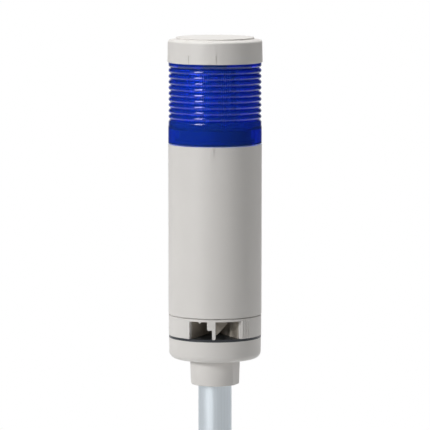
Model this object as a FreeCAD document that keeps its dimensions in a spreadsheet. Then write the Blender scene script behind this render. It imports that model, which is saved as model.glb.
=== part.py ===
import FreeCAD, Part

# Stack light, 56 mm class, one blue tier, with a sounder in its foot and an aluminium pole.
#
# Frame: origin at the centre of the pole's lower end, +Z up the pole, front of the head at -Y.
# The pieces are stacked along Z. Each one is drawn from its own base and lifted to its level.

import math
import os

import Sketcher

# ------------------------------------------------------------------ driving dimensions, mm

SIZES = [
    # fits and running gaps
    ("fit_gap", 0.05, "gap round a fixed piece in its seat, each side"),
    ("turn_gap", 0.35, "gap between round faces that turn past each other"),
    ("seat_gap", 0.1, "gap between flat faces that turn on each other"),
    ("lug_gap", 0.2, "height between the lugs of a twist lock"),
    ("root", 0.8, "depth that a joined form sinks into its wall"),
    # pole and what clamps it
    ("pole_dia", 20.0, "outside of the pole"),
    ("pole_bore", 16.0, "inside of the pole, the way out for a cable"),
    ("pole_free", 100.0, "pole below the neck"),
    ("pole_seat_dia", 19.0, "pole turned to fit the neck's socket"),
    ("pole_socket", 13.0, "pole inside the neck, up to its shoulder"),
    ("pole_chamfer", 0.5, "edge break on both ends of the pole"),
    ("spigot_dia", 18.4, "threaded upper end of the pole"),
    ("spigot_rise", 1.0, "thread showing above the nut"),
    ("washer_dia", 24.6, "pole washer"),
    ("washer_thick", 1.0, "pole washer"),
    ("nut_flats", 23.5, "pole nut, across its flats"),
    ("nut_height", 4.0, "pole nut"),
    # foot: neck and cup in one moulding
    ("neck_dia", 29.0, "neck at its lower end"),
    ("neck_top_dia", 30.1, "neck where it joins the cup"),
    ("neck_length", 15.9, "neck below the cup"),
    ("neck_round", 0.6, "lower edge of the neck"),
    ("flat_across", 27.2, "across the wrench flats of the neck"),
    ("flat_turn", 69.0, "first wrench flat, degrees right of the front"),
    ("flat_count", 2, "wrench flats"),
    ("cup_inset", 0.15, "rim of the cup inside the volume ring"),
    ("cup_flare", 0.15, "from the rounded edge of the cup out to its rim"),
    ("cup_height", 12.65, "underside of the cup to its rim"),
    ("cup_round", 4.0, "rounded lower edge of the cup"),
    ("cup_floor", 3.0, "floor of the cup"),
    ("cup_wall", 2.5, "wall of the cup"),
    ("cup_inner_round", 1.5, "inside corner of the cup"),
    # three long screws that hold foot, chamber and tube together
    ("screw_dia", 3.0, "long screws"),
    ("screw_count", 3, "long screws"),
    ("screw_inset", 5.5, "long screws inside the tube's bore"),
    ("screw_length", 32.0, "long screws, under the head"),
    ("screw_play", 0.25, "hole round a long screw, each side"),
    ("head_dia", 5.6, "screw head"),
    ("head_height", 2.2, "screw head"),
    ("head_play", 0.5, "recess round a screw head, each side"),
    ("head_recess", 5.0, "depth of the recess for a screw head"),
    ("slot_width", 0.8, "slot in a screw head"),
    ("slot_depth", 1.0, "slot in a screw head"),
    ("boss_dia", 8.0, "screw bosses in the cup"),
    # black seal between cup and chamber
    ("seal_thick", 1.4, "seal disc"),
    ("seal_lip", 1.2, "lip of the seal inside the cup"),
    ("seal_lip_wall", 0.7, "lip of the seal"),
    ("wire_hole_dia", 7.0, "way through for the wires"),
    ("wire_hole_turn", 150.0, "wire hole, degrees from the right side"),
    ("wire_hole_inset", 6.0, "wire hole inside the tube's bore"),
    # sound chamber
    ("ring_space", 12.6, "seal to the underside of the tube"),
    ("drum_spigot", 1.7, "drum inside the tube"),
    ("chamber_height", 10.8, "seal to the ceiling of the horn"),
    ("mouth_angle", 66.6, "width of the mouth seen from the axis"),
    ("horn_depth", 4.5, "end of the horn behind the axis"),
    ("horn_end", 5.0, "width of the horn at its end"),
    ("throat_dia", 6.0, "hole from the horn to the sounder"),
    ("throat_front", 2.0, "throat in front of the axis"),
    ("web_front", 13.5, "front face of the gusset in the horn"),
    ("web_thick", 1.5, "gusset in the horn"),
    ("web_low", 1.2, "lower tip of the gusset above the seal"),
    ("web_side", 0.6, "near edge of the gusset, right of the axis"),
    ("rim_wall", 1.2, "low rim that holds the sounder"),
    ("rim_height", 2.0, "low rim that holds the sounder"),
    # volume ring
    ("ring_inset", 0.15, "outside of the volume ring inside the tube's foot"),
    ("ring_wall", 2.25, "volume ring"),
    ("ring_line", 0.35, "open line between ring and tube"),
    ("ring_play", 0.15, "gap between ring and seal"),
    ("ring_edge", 0.3, "edge break of the ring"),
    ("ring_rim", 1.5, "ring above its window"),
    ("tab_left", 9.8, "left side of the tab, degrees left of the front"),
    ("tab_stem_left", 3.7, "left side of the tab's stem, degrees left of the front"),
    ("tab_right", 0.65, "right side of the tab, degrees right of the front"),
    ("tab_step", 5.6, "lower edge of the wide part of the tab above the ring's base"),
    ("tab_round", 0.8, "corner of the wide part of the tab"),
    ("stem_round", 0.8, "lower end of the tab's stem"),
    ("nub_turn", 19.5, "nub on the window's top, degrees left of the front"),
    ("nub_width", 2.0, "nub"),
    ("nub_drop", 1.0, "nub"),
    ("grip_turn", 35.6, "first grip rib, degrees right of the front"),
    ("grip_pitch", 3.7, "from one grip rib to the next, degrees"),
    ("grip_count", 4, "grip ribs"),
    ("grip_dia", 1.1, "grip rib"),
    ("grip_proud", 0.5, "grip rib outside the ring"),
    ("grip_height", 11.0, "grip rib"),
    ("ring_travel", 70.0, "turn of the ring from open to shut, degrees"),
    ("stop_turn", 110.0, "place of the ring's stop lug, degrees from the right side"),
    ("stop_width", 8.0, "stop lug, degrees"),
    ("stop_play", 0.5, "gap beside the stop lug, degrees"),
    ("stop_reach", 1.2, "stop lug inside the ring's bore"),
    ("stop_base", 3.3, "lower face of the stop lug above the ring's base"),
    ("stop_height", 3.4, "stop lug"),
    # sounder
    ("sounder_play", 1.3, "rim of the sounder inside the tube's screw bosses"),
    ("sounder_height", 8.0, "sounder case"),
    ("sounder_wall", 1.5, "sounder case"),
    ("piezo_inset", 2.5, "edge of the sounder disc inside the case's outside"),
    ("piezo_thick", 0.5, "sounder disc"),
    ("piezo_ledge", 1.0, "ledge under the sounder disc"),
    ("piezo_level", 3.0, "sounder disc above the case's base"),
    ("cover_thick", 1.5, "back of the sounder"),
    # tube
    ("tube_dia", 56.0, "tube at its upper end"),
    ("tube_taper", 0.05, "tube at its lower end inside its upper end"),
    ("tube_length", 102.4, "tube"),
    ("tube_wall", 2.5, "tube"),
    ("tube_edge", 0.3, "edge break of the tube"),
    ("tube_boss_dia", 7.0, "screw bosses in the tube"),
    ("tube_boss_height", 13.0, "screw bosses in the tube"),
    ("boss_web", 2.4, "web from a boss to the wall"),
    ("thread_depth", 10.0, "screw inside its boss in the tube"),
    ("index_turn", 3.7, "index rib, degrees left of the front"),
    ("index_width", 2.2, "index rib"),
    ("index_length", 5.6, "index rib"),
    ("index_proud", 0.4, "index rib outside the tube"),
    # twist locks, one below the lens and one above it
    ("lug_angle", 28.0, "lug of a twist lock, degrees"),
    ("lug_height", 2.0, "lug of a twist lock"),
    ("lug_reach", 1.6, "lug outside its spigot"),
    ("lug_turn", 90.0, "first lug, degrees from the right side"),
    ("lug_count", 3, "lugs of a twist lock"),
    ("twist_travel", 30.0, "turn from locked to free, degrees"),
    ("stop_rib", 2.0, "stop rib of a twist lock, degrees"),
    # lens
    ("lens_height", 48.6, "lens between tube and cap"),
    ("lens_wall", 2.1, "lens behind its grooves"),
    ("band_proud", 0.1, "plain band of the lens outside the tube"),
    ("band_step", 10.5, "height of the plain band"),
    ("band_top", 14.6, "first groove above the lens's base"),
    ("band_corner", 0.6, "lower edge of the lens"),
    ("bead_inset", 0.15, "beads of the lens inside the tube's outside"),
    ("bead_depth", 1.55, "groove between beads"),
    ("bead_land", 0.2, "flat between two beads"),
    ("bead_count", 9, "whole beads"),
    ("top_land", 3.0, "last groove below the lens's top"),
    ("flute_count", 120, "upright flutes inside the lens"),
    ("flute_width", 1.1, "flute"),
    ("flute_depth", 0.5, "flute"),
    ("lens_spigot_length", 7.0, "spigot of the lens inside the tube"),
    ("lens_spigot_wall", 1.6, "spigot of the lens"),
    ("lens_ledge", 1.0, "ledge inside the lens above its base"),
    ("lens_neck_height", 8.5, "neck of the lens inside the cap"),
    ("lens_neck_wall", 1.8, "neck of the lens"),
    ("gasket_thick", 1.4, "seal rings below and above the lens"),
    # cap
    ("cap_proud", 0.2, "cap outside the tube at its upper edge"),
    ("cap_flare", 0.25, "from the cap's upper edge out to its lower edge"),
    ("cap_side", 13.45, "side of the cap"),
    ("cap_round", 1.4, "upper edge of the cap"),
    ("cap_edge", 0.25, "lower edge of the cap"),
    ("cap_slope", 0.5, "rise of the shoulder"),
    ("disc_inset", 4.8, "raised disc inside the cap's upper edge"),
    ("disc_rise", 1.0, "raised disc on top"),
    ("disc_edge", 0.3, "edge of the raised disc"),
    ("cap_wall", 2.0, "cap"),
    ("cap_lug_base", 2.8, "lower face of the cap's lugs above its base"),
    ("mark_proud", 0.3, "marks outside the cap"),
    ("line_turn", 34.0, "line mark, degrees left of the front"),
    ("line_width", 0.7, "line mark"),
    ("line_height", 5.3, "line mark"),
    ("wedge_turn", 3.7, "middle of the wedge mark, degrees left of the front"),
    ("wedge_width", 4.6, "wedge mark"),
    ("wedge_height", 4.2, "wedge mark"),
    ("wedge_base", 1.5, "tip of the wedge mark above the cap's base"),
    # lamp inside the lens
    ("holder_step", 0.45, "wall of the lamp holder above its flange, inside the lower wall"),
    ("holder_top", 9.0, "top of the lamp holder above the lens's base"),
    ("holder_drop", 5.0, "floor of the lamp holder below the lens's base"),
    ("holder_wall", 1.5, "lamp holder"),
    ("flange_thick", 1.5, "flange of the lamp holder"),
    ("board_thick", 1.6, "circuit boards"),
    ("base_board_inset", 1.7, "round board on the holder inside the lens's bore"),
    ("tower_width", 12.6, "tower of lamp boards"),
    ("tower_thick", 1.2, "lamp boards"),
    ("tower_clear", 1.4, "top of the lamp tower below the lens's top"),
    ("top_board", 14.0, "square board on the tower"),
    ("led_width", 3.0, "lamp chips"),
    ("led_height", 2.8, "lamp chips"),
    ("led_thick", 1.3, "lamp chips"),
    ("led_rows", 7, "rows of lamp chips on a board"),
    ("led_margin", 1.9, "bare board above and below the chips"),
    ("led_spread", 4.6, "from one column of chips to the next"),
    ("track_count", 3, "contact rings under the holder, one per wire"),
    ("track_width", 2.5, "contact rings under the holder"),
    ("track_thick", 0.5, "contact rings under the holder"),
    ("track_inner", 6.0, "radius of the inner contact ring"),
    ("track_pitch", 5.0, "from one contact ring to the next"),
    # contacts and electronics in the tube
    ("plate_thick", 2.0, "contact plate"),
    ("plate_drop", 9.95, "top of the contact plate below the lens's base"),
    ("ledge_width", 1.5, "ledge under the contact plate"),
    ("spring_width", 3.0, "contact springs"),
    ("spring_thick", 0.4, "contact springs"),
    ("spring_foot", 4.0, "contact springs, length of the foot"),
    ("driver_side_gap", 0.2, "gap between the driver board's sides and the tube"),
    ("driver_top_gap", 0.55, "top of the driver board below the ledge of the contact plate"),
    ("driver_back", 7.0, "front face of the driver board behind the axis"),
    ("driver_base", 16.0, "lower edge of the driver board above the tube's foot"),
    ("guide_width", 1.2, "guide ribs beside the driver board"),
    ("guide_reach", 2.2, "guide ribs over the board's edge"),
    ("terminal_width", 20.0, "terminal block"),
    ("terminal_depth", 9.0, "terminal block"),
    ("terminal_height", 10.0, "terminal block"),
    ("terminal_level", 10.0, "terminal block above the board's lower edge"),
    ("terminal_count", 4, "ways in the terminal block"),
    ("terminal_pitch", 5.0, "from one way to the next"),
    ("clamp_dia", 3.4, "clamp screws of the terminal block"),
    ("clamp_drop", 2.5, "clamp screws below the top of the terminal block"),
    ("clamp_depth", 3.0, "clamp screws of the terminal block"),
    ("entry_size", 2.8, "wire entries of the terminal block"),
    ("entry_depth", 5.0, "wire entries of the terminal block"),
    ("capacitor_dia", 10.0, "capacitors"),
    ("capacitor_height", 14.0, "capacitors"),
    ("capacitor_spread", 13.0, "from one capacitor to the other"),
    ("coil_dia", 14.0, "power coil"),
    ("coil_core_dia", 8.0, "core of the power coil"),
    ("coil_height", 10.0, "power coil"),
    ("coil_flange", 1.2, "flanges of the power coil"),
    ("chip_width", 9.8, "flasher chip"),
    ("chip_height", 6.4, "flasher chip"),
    ("chip_thick", 3.4, "flasher chip"),
    ("pin_dia", 1.0, "pins from driver board to contact plate"),
    ("pin_pitch", 5.0, "from one pin to the next"),
    ("pin_overlap", 4.0, "pins along the face of the driver board"),
    ("lead_dia", 1.4, "leads of the sounder"),
    ("lead_spread", 5.0, "from one lead to the other"),
]

document = FreeCAD.newDocument("StackLight")
sheet = document.addObject("Spreadsheet::Sheet", "size")
for row, (alias, amount, meaning) in enumerate(SIZES, start=1):
    sheet.set(f"A{row}", meaning)
    sheet.set(f"B{row}", str(amount))
    sheet.setAlias(f"B{row}", alias)
document.recompute()

PIECES = []


def number(text):
    """Value of an expression on the sheet, as a plain number."""
    result = sheet.evalExpression(text)
    return float(getattr(result, "Value", result))


# ------------------------------------------------------------------ levels and shared sizes

NECK_BASE = "size.pole_free"
CUP_BASE = f"({NECK_BASE} + size.neck_length)"
CUP_FLOOR_TOP = f"({CUP_BASE} + size.cup_floor)"
SEAL_BASE = f"({CUP_BASE} + size.cup_height)"
CHAMBER_BASE = f"({SEAL_BASE} + size.seal_thick)"
RING_BASE = f"({CHAMBER_BASE} + size.ring_play)"
TUBE_BASE = f"({CHAMBER_BASE} + size.ring_space)"
LENS_BASE = f"({TUBE_BASE} + size.tube_length + size.seat_gap)"
CAP_BASE = f"({LENS_BASE} + size.lens_height + size.seat_gap)"
DRUM_TOP = f"({TUBE_BASE} + size.drum_spigot)"
PLATE_TOP = f"({LENS_BASE} - size.plate_drop)"
PLATE_BASE = f"({PLATE_TOP} - size.plate_thick)"
BASE_BOARD_BASE = f"({LENS_BASE} + size.holder_top)"
TOWER_BASE = f"({BASE_BOARD_BASE} + size.board_thick)"
TOWER_HEIGHT = ("(size.lens_height - size.holder_top - size.board_thick"
                " - size.tower_thick - size.tower_clear)")
TOWER_TOP = f"({TOWER_BASE} + {TOWER_HEIGHT})"
TRACK_BASE = f"({LENS_BASE} - size.holder_drop - size.track_thick)"
DRIVER_BASE = f"({TUBE_BASE} + size.driver_base)"

TUBE_RADIUS = "(size.tube_dia / 2)"
TUBE_FOOT = f"({TUBE_RADIUS} - size.tube_taper)"
TUBE_BORE = f"({TUBE_RADIUS} - size.tube_wall)"
RING_RADIUS = f"({TUBE_FOOT} - size.ring_inset)"
RING_BORE = f"({RING_RADIUS} - size.ring_wall)"
RING_HEIGHT = "(size.ring_space - size.ring_play - size.ring_line)"
DRUM_RADIUS = f"({RING_BORE} - size.turn_gap)"
CUP_RIM = f"({RING_RADIUS} - size.cup_inset)"
CUP_RADIUS = f"({CUP_RIM} - size.cup_flare)"

SCREW_RADIUS = f"({TUBE_BORE} - size.screw_inset)"
SCREW_HOLE = "(size.screw_dia / 2 + size.screw_play)"
WIRE_RADIUS = f"({TUBE_BORE} - size.wire_hole_inset)"
WIRE_PLACE = (f"{WIRE_RADIUS} * cos(size.wire_hole_turn * 1 deg)",
              f"{WIRE_RADIUS} * sin(size.wire_hole_turn * 1 deg)")
SOUNDER_SEAT = f"({SCREW_RADIUS} - size.tube_boss_dia / 2 - size.sounder_play - size.rim_wall)"
SOUNDER_RADIUS = f"({SOUNDER_SEAT} - size.fit_gap)"
PIEZO_RADIUS = f"({SOUNDER_RADIUS} - size.piezo_inset)"

BEAD_RADIUS = f"({TUBE_RADIUS} - size.bead_inset)"
GROOVE_RADIUS = f"({BEAD_RADIUS} - size.bead_depth)"
BEAD_PITCH = "((size.lens_height - size.band_top - size.top_land) / size.bead_count)"
BEAD_CHORD = f"({BEAD_PITCH} - size.bead_land)"
BEAD_ARC = f"({BEAD_CHORD} ^ 2 / (8 * size.bead_depth) + size.bead_depth / 2)"
TOP_GROOVE = "(size.lens_height - size.top_land)"
BAND_RADIUS = f"({TUBE_RADIUS} + size.band_proud)"
LENS_BORE = f"({GROOVE_RADIUS} - size.lens_wall)"
LENS_LUG = f"({TUBE_BORE} - size.turn_gap)"
LENS_SPIGOT = f"({LENS_LUG} - size.lug_reach)"
SPIGOT_BORE = f"({LENS_SPIGOT} - size.lens_spigot_wall)"
TUBE_LUG_BASE = ("(size.tube_length - size.lens_spigot_length + size.lug_height"
                 " + size.lug_gap + size.seat_gap)")

CAP_RADIUS = f"({TUBE_RADIUS} + size.cap_proud)"
CAP_SKIRT = f"({CAP_RADIUS} + size.cap_flare)"
CAP_BORE = f"({CAP_RADIUS} - size.cap_wall)"
CAP_TOP = "(size.cap_side + size.cap_slope + size.disc_rise)"
CAP_LUG_TOP = "(size.cap_lug_base + size.lug_height)"
DISC_RADIUS = f"({CAP_RADIUS} - size.disc_inset)"
NECK_LUG = f"({CAP_BORE} - size.turn_gap)"
LENS_NECK = f"({NECK_LUG} - size.lug_reach)"

TOWER_HALF = "(size.tower_width / 2 - size.tower_thick)"
CHIP_PITCH = f"(({TOWER_HEIGHT} - size.led_height - 2 * size.led_margin) / (size.led_rows - 1))"
DRIVER_HEIGHT = f"({PLATE_BASE} - 2 * size.ledge_width - size.driver_top_gap - {DRIVER_BASE})"
DRIVER_HALF = (f"(sqrt({TUBE_BORE} ^ 2 - (size.driver_back + size.board_thick) ^ 2)"
               " - size.driver_side_gap)")
LEAD_BACK = "(size.driver_back - size.lead_dia / 2)"
PIN_BACK = "(size.driver_back - size.pin_dia / 2)"
CLAMP_LEVEL = "(size.terminal_height - size.clamp_drop)"

# The parts on the driver board are spread evenly from its terminal block up to its pins.
BLOCK_TOP = "(size.terminal_level + size.terminal_height)"
BOARD_SPACE = (f"(({DRIVER_HEIGHT} - size.pin_overlap - {BLOCK_TOP} - size.capacitor_dia"
               " - size.coil_dia - size.chip_height) / 4)")
CAPACITOR_LEVEL = f"({BLOCK_TOP} + {BOARD_SPACE} + size.capacitor_dia / 2)"
COIL_LEVEL = f"({CAPACITOR_LEVEL} + size.capacitor_dia / 2 + {BOARD_SPACE} + size.coil_dia / 2)"
CHIP_LEVEL = f"({COIL_LEVEL} + size.coil_dia / 2 + {BOARD_SPACE} + size.chip_height / 2)"

TOWER_SIDES = "4"
ZERO = 1e-9
NEAR = 0.01
CUTS = ("PartDesign::Pocket", "PartDesign::Groove")


# ------------------------------------------------------------------ drawing helpers

def pin_point(sketch, edge, end, x_text, y_text):
    """Fix one vertex by its two coordinates, each bound to the sheet."""
    for axis, kind, text in ((-2, "DistanceX", x_text), (-1, "DistanceY", y_text)):
        amount = number(text)
        if abs(amount) < ZERO:
            sketch.addConstraint(Sketcher.Constraint("PointOnObject", edge, end, axis))
        elif amount > 0:
            index = sketch.addConstraint(Sketcher.Constraint(kind, -1, 1, edge, end, amount))
            sketch.setExpression(f"Constraints[{index}]", text)
        else:
            index = sketch.addConstraint(Sketcher.Constraint(kind, edge, end, -1, 1, -amount))
            sketch.setExpression(f"Constraints[{index}]", f"-({text})")


def arc_between(start, end, radius, side):
    """The short arc from start to end that turns to the given side."""
    chord = end - start
    half = chord.Length / 2
    height = math.sqrt(max(radius ** 2 - half ** 2, 0.0))
    left = FreeCAD.Vector(-chord.y, chord.x, 0).normalize()
    turn = 1 if side == "left" else -1
    centre = (start + end) / 2 + left * (height * turn)
    first, last = (start, end) if side == "left" else (end, start)
    angles = [math.atan2(point.y - centre.y, point.x - centre.x) for point in (first, last)]
    return Part.ArcOfCircle(Part.Circle(centre, FreeCAD.Vector(0, 0, 1), radius), *angles)


def add_loop(sketch, points):
    """Closed outline. A point is (x, y), or (x, y, side, radius) where an arc leaves it."""
    spots = [FreeCAD.Vector(number(point[0]), number(point[1]), 0) for point in points]
    ends = []
    for place, point in enumerate(points):
        start, end = spots[place], spots[(place + 1) % len(points)]
        if len(point) == 2:
            edge = sketch.addGeometry(Part.LineSegment(start, end), False)
            ends.append((edge, 1, 2))
        else:
            side, radius = point[2], point[3]
            edge = sketch.addGeometry(arc_between(start, end, number(radius), side), False)
            ends.append((edge, 1, 2) if side == "left" else (edge, 2, 1))
            index = sketch.addConstraint(Sketcher.Constraint("Radius", edge, number(radius)))
            sketch.setExpression(f"Constraints[{index}]", radius)
    for place, point in enumerate(points):
        edge, first, last = ends[place]
        after, after_first, _ = ends[(place + 1) % len(points)]
        sketch.addConstraint(Sketcher.Constraint("Coincident", edge, last, after, after_first))
        pin_point(sketch, edge, first, point[0], point[1])


def add_circle(sketch, x_text, y_text, radius):
    """Circle by its centre and radius."""
    centre = FreeCAD.Vector(number(x_text), number(y_text), 0)
    circle = Part.Circle(centre, FreeCAD.Vector(0, 0, 1), number(radius))
    edge = sketch.addGeometry(circle, False)
    if centre.Length < ZERO:
        sketch.addConstraint(Sketcher.Constraint("Coincident", edge, 3, -1, 1))
    else:
        pin_point(sketch, edge, 3, x_text, y_text)
    index = sketch.addConstraint(Sketcher.Constraint("Radius", edge, number(radius)))
    sketch.setExpression(f"Constraints[{index}]", radius)


def box_loop(left, low, right, high):
    """Rectangle as a loop."""
    return [(left, low), (right, low), (right, high), (left, high)]


def origin_part(body, role):
    """One of the body's own origin planes or axes."""
    return next(item for item in body.Origin.OriginFeatures if item.Role == role)


def new_body(label, level):
    """Empty body of one piece, lifted to its level."""
    body = document.addObject("PartDesign::Body", label)
    body.Label = label
    body.AllowCompound = True
    body.setExpression(".Placement.Base.z", level)
    PIECES.append(body)
    return body


def flat_sketch(body, name, up="0", loops=(), circles=()):
    """Sketch seen from above, at a height over the body's base."""
    sketch = body.newObject("Sketcher::SketchObject", name)
    sketch.AttachmentSupport = [(origin_part(body, "XY_Plane"), "")]
    sketch.MapMode = "FlatFace"
    sketch.setExpression(".AttachmentOffset.Base.z", up)
    for loop in loops:
        add_loop(sketch, loop)
    for circle in circles:
        add_circle(sketch, *circle)
    return sketch


def upright_sketch(body, name, turn="0", out="0", loops=(), circles=()):
    """Upright sketch: x to the right, y up, facing out at an angle from the front.

    turn swings it about the body's axis, counterclockwise from above, and out moves it
    away from the axis along its own normal.
    """
    sketch = body.newObject("Sketcher::SketchObject", name)
    sketch.AttachmentSupport = [(origin_part(body, "XZ_Plane"), "")]
    sketch.MapMode = "FlatFace"
    sketch.AttachmentOffset = FreeCAD.Placement(
        FreeCAD.Vector(), FreeCAD.Rotation(FreeCAD.Vector(0, 1, 0), number(turn)))
    sketch.setExpression(".AttachmentOffset.Rotation.Angle", f"({turn}) * 1 deg")
    sketch.setExpression(".AttachmentOffset.Base.x", f"({out}) * sin(({turn}) * 1 deg)")
    sketch.setExpression(".AttachmentOffset.Base.z", f"({out}) * cos(({turn}) * 1 deg)")
    for loop in loops:
        add_loop(sketch, loop)
    for circle in circles:
        add_circle(sketch, *circle)
    return sketch


def feature(body, kind, profile, **settings):
    """PartDesign feature on a sketch. A setting given as text is bound to the sheet."""
    item = body.newObject(f"PartDesign::{kind}", f"{profile.Name}_{kind.lower()}")
    item.Profile = profile
    if kind in ("Revolution", "Groove"):
        item.ReferenceAxis = (profile, ["V_Axis"])
    for name, value in settings.items():
        if isinstance(value, str):
            item.setExpression(name, value)
        else:
            setattr(item, name, value)
    profile.Visibility = False
    return item


def turned(body, name, loop):
    """Piece turned about its own axis from a half section."""
    sketch = upright_sketch(body, name, loops=[loop])
    return feature(body, "Revolution", sketch, Angle=360.0)


def sector(body, kind, name, middle, width, loop):
    """Part of a turn: a half section swept evenly to both sides of a direction."""
    sketch = upright_sketch(body, name, turn=middle, loops=[loop])
    return feature(body, kind, sketch, Angle=width, Midplane=True)


def around(body, items, count, angle="360"):
    """Copies of features about the body's own axis."""
    pattern = body.newObject("PartDesign::PolarPattern", f"{items[0].Name}_around")
    pattern.Originals = items
    pattern.Axis = (origin_part(body, "Z_Axis"), [""])
    pattern.setExpression("Angle", angle)
    pattern.setExpression("Occurrences", count)
    body.Tip = pattern
    return pattern


def rounded(body, radius, chosen):
    """Round the edges of the last feature that the test picks out."""
    document.recompute()
    base = body.Tip
    edges = enumerate(base.Shape.Edges, start=1)
    names = [f"Edge{place}" for place, edge in edges if chosen(edge)]
    fillet = body.newObject("PartDesign::Fillet", f"{base.Name}_round")
    fillet.Base = (base, names)
    fillet.setExpression("Radius", radius)
    body.Tip = fillet
    return fillet


def direction(point):
    """Angle of a point about the axis, in degrees right of the front."""
    return math.degrees(math.atan2(point.x, -point.y))


# ------------------------------------------------------------------ pole and its clamp

def make_pole():
    """Plain tube, turned down at the top for the neck's socket and again for a thread."""
    body = new_body("pole", "0")
    outer = "size.pole_dia / 2"
    seat = "size.pole_seat_dia / 2"
    inner = "size.pole_bore / 2"
    spigot = "size.spigot_dia / 2"
    shoulder = f"({NECK_BASE} + size.pole_socket)"
    top = f"({CUP_FLOOR_TOP} + size.washer_thick + size.nut_height + size.spigot_rise)"
    chamfer = "size.pole_chamfer"
    turned(body, "pole_section", [
        (f"{inner} + {chamfer}", "0"), (f"{outer} - {chamfer}", "0"), (outer, chamfer),
        (outer, NECK_BASE), (seat, NECK_BASE), (seat, shoulder), (spigot, shoulder),
        (spigot, f"{top} - {chamfer}"), (f"{spigot} - {chamfer}", top), (inner, top),
        (inner, chamfer)])


def make_pole_washer():
    """Flat ring under the pole nut."""
    body = new_body("pole_washer", CUP_FLOOR_TOP)
    bore = "(size.spigot_dia / 2 + size.fit_gap)"
    turned(body, "washer_section", box_loop(bore, "0", "size.washer_dia / 2", "size.washer_thick"))


def make_pole_nut():
    """Thin hexagon nut that pulls the pole's shoulder up against the neck's ledge."""
    body = new_body("pole_nut", f"{CUP_FLOOR_TOP} + size.washer_thick")
    corner = "(size.nut_flats / 2 / cos(30 deg))"
    hexagon = [(f"{corner} * cos({60 * side} deg)", f"{corner} * sin({60 * side} deg)")
               for side in range(6)]
    blank = flat_sketch(body, "nut_blank", loops=[hexagon])
    feature(body, "Pad", blank, Length="size.nut_height")
    bore = flat_sketch(body, "nut_bore", circles=[("0", "0", "size.spigot_dia / 2 + size.fit_gap")])
    feature(body, "Pocket", bore, Length="size.nut_height", Reversed=True)


# ------------------------------------------------------------------ foot

def make_base_cup():
    """Neck and cup in one moulding: ledge for the pole, wrench flats, three screw bosses."""
    body = new_body("base_cup", NECK_BASE)
    socket = "(size.pole_seat_dia / 2 + size.fit_gap)"
    ledge = "(size.spigot_dia / 2 + size.fit_gap)"
    neck = "size.neck_dia / 2"
    inner = f"({CUP_RIM} - size.cup_wall)"
    floor_top = "(size.neck_length + size.cup_floor)"
    top = "(size.neck_length + size.cup_height)"
    turned(body, "cup_section", [
        (socket, "0"),
        (f"{neck} - size.neck_round", "0", "left", "size.neck_round"),
        (neck, "size.neck_round"),
        ("size.neck_top_dia / 2", "size.neck_length"),
        (f"{CUP_RADIUS} - size.cup_round", "size.neck_length", "left", "size.cup_round"),
        (CUP_RADIUS, "size.neck_length + size.cup_round"),
        (CUP_RIM, top), (inner, top),
        (inner, f"{floor_top} + size.cup_inner_round", "right", "size.cup_inner_round"),
        (f"{inner} - size.cup_inner_round", floor_top),
        (ledge, floor_top), (ledge, "size.pole_socket"), (socket, "size.pole_socket")])
    flat = upright_sketch(body, "wrench_flat", "size.flat_turn", "size.flat_across / 2", loops=[
        box_loop(f"-{neck}", "0", neck, "size.neck_length")])
    cut = feature(body, "Pocket", flat, Length=neck, Reversed=True)
    around(body, [cut], "size.flat_count")
    middle = "size.neck_length + size.cup_floor / 2"
    boss = flat_sketch(body, "cup_boss", middle, circles=[("0", SCREW_RADIUS, "size.boss_dia / 2")])
    head = flat_sketch(body, "cup_head_recess", "size.neck_length",
                       circles=[("0", SCREW_RADIUS, "size.head_dia / 2 + size.head_play")])
    hole = flat_sketch(body, "cup_screw_hole", "size.neck_length",
                       circles=[("0", SCREW_RADIUS, SCREW_HOLE)])
    around(body, [
        feature(body, "Pad", boss, Length="size.cup_height - size.cup_floor / 2"),
        feature(body, "Pocket", head, Length="size.head_recess", Reversed=True),
        feature(body, "Pocket", hole, Length="size.cup_height", Reversed=True)], "size.screw_count")


def make_base_screws():
    """Three long screws, heads down in the cup, that reach the bosses in the tube."""
    seat = f"({CUP_BASE} + size.head_recess)"
    body = new_body("base_screws", f"{seat} - size.head_height")
    head = flat_sketch(body, "screw_head", circles=[("0", SCREW_RADIUS, "size.head_dia / 2")])
    shank = flat_sketch(body, "screw_shank", "size.head_height",
                        circles=[("0", SCREW_RADIUS, "size.screw_dia / 2")])
    slot = flat_sketch(body, "screw_slot", loops=[box_loop(
        "-size.head_dia", f"{SCREW_RADIUS} - size.slot_width / 2",
        "size.head_dia", f"{SCREW_RADIUS} + size.slot_width / 2")])
    around(body, [
        feature(body, "Pad", head, Length="size.head_height"),
        feature(body, "Pad", shank, Length="size.screw_length"),
        feature(body, "Pocket", slot, Length="size.slot_depth", Reversed=True)], "size.screw_count")


def make_base_gasket():
    """Black seal disc over the cup: the floor of the sound chamber."""
    body = new_body("base_gasket", SEAL_BASE)
    lip_out = f"({CUP_RIM} - size.cup_wall - size.fit_gap)"
    lip_in = f"({lip_out} - size.seal_lip_wall)"
    turned(body, "gasket_section", [
        ("0", "0"), (lip_in, "0"), (lip_in, "-size.seal_lip"), (lip_out, "-size.seal_lip"),
        (lip_out, "0"), (CUP_RIM, "0"), (CUP_RIM, "size.seal_thick"), ("0", "size.seal_thick")])
    wire = flat_sketch(body, "gasket_wire_hole", circles=[(*WIRE_PLACE, "size.wire_hole_dia / 2")])
    feature(body, "Pocket", wire, Length="size.seal_thick", Reversed=True)
    hole = flat_sketch(body, "gasket_screw_hole", circles=[("0", SCREW_RADIUS, SCREW_HOLE)])
    cut = feature(body, "Pocket", hole, Length="size.seal_thick", Reversed=True)
    around(body, [cut], "size.screw_count")


# ------------------------------------------------------------------ sound chamber and ring

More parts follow.
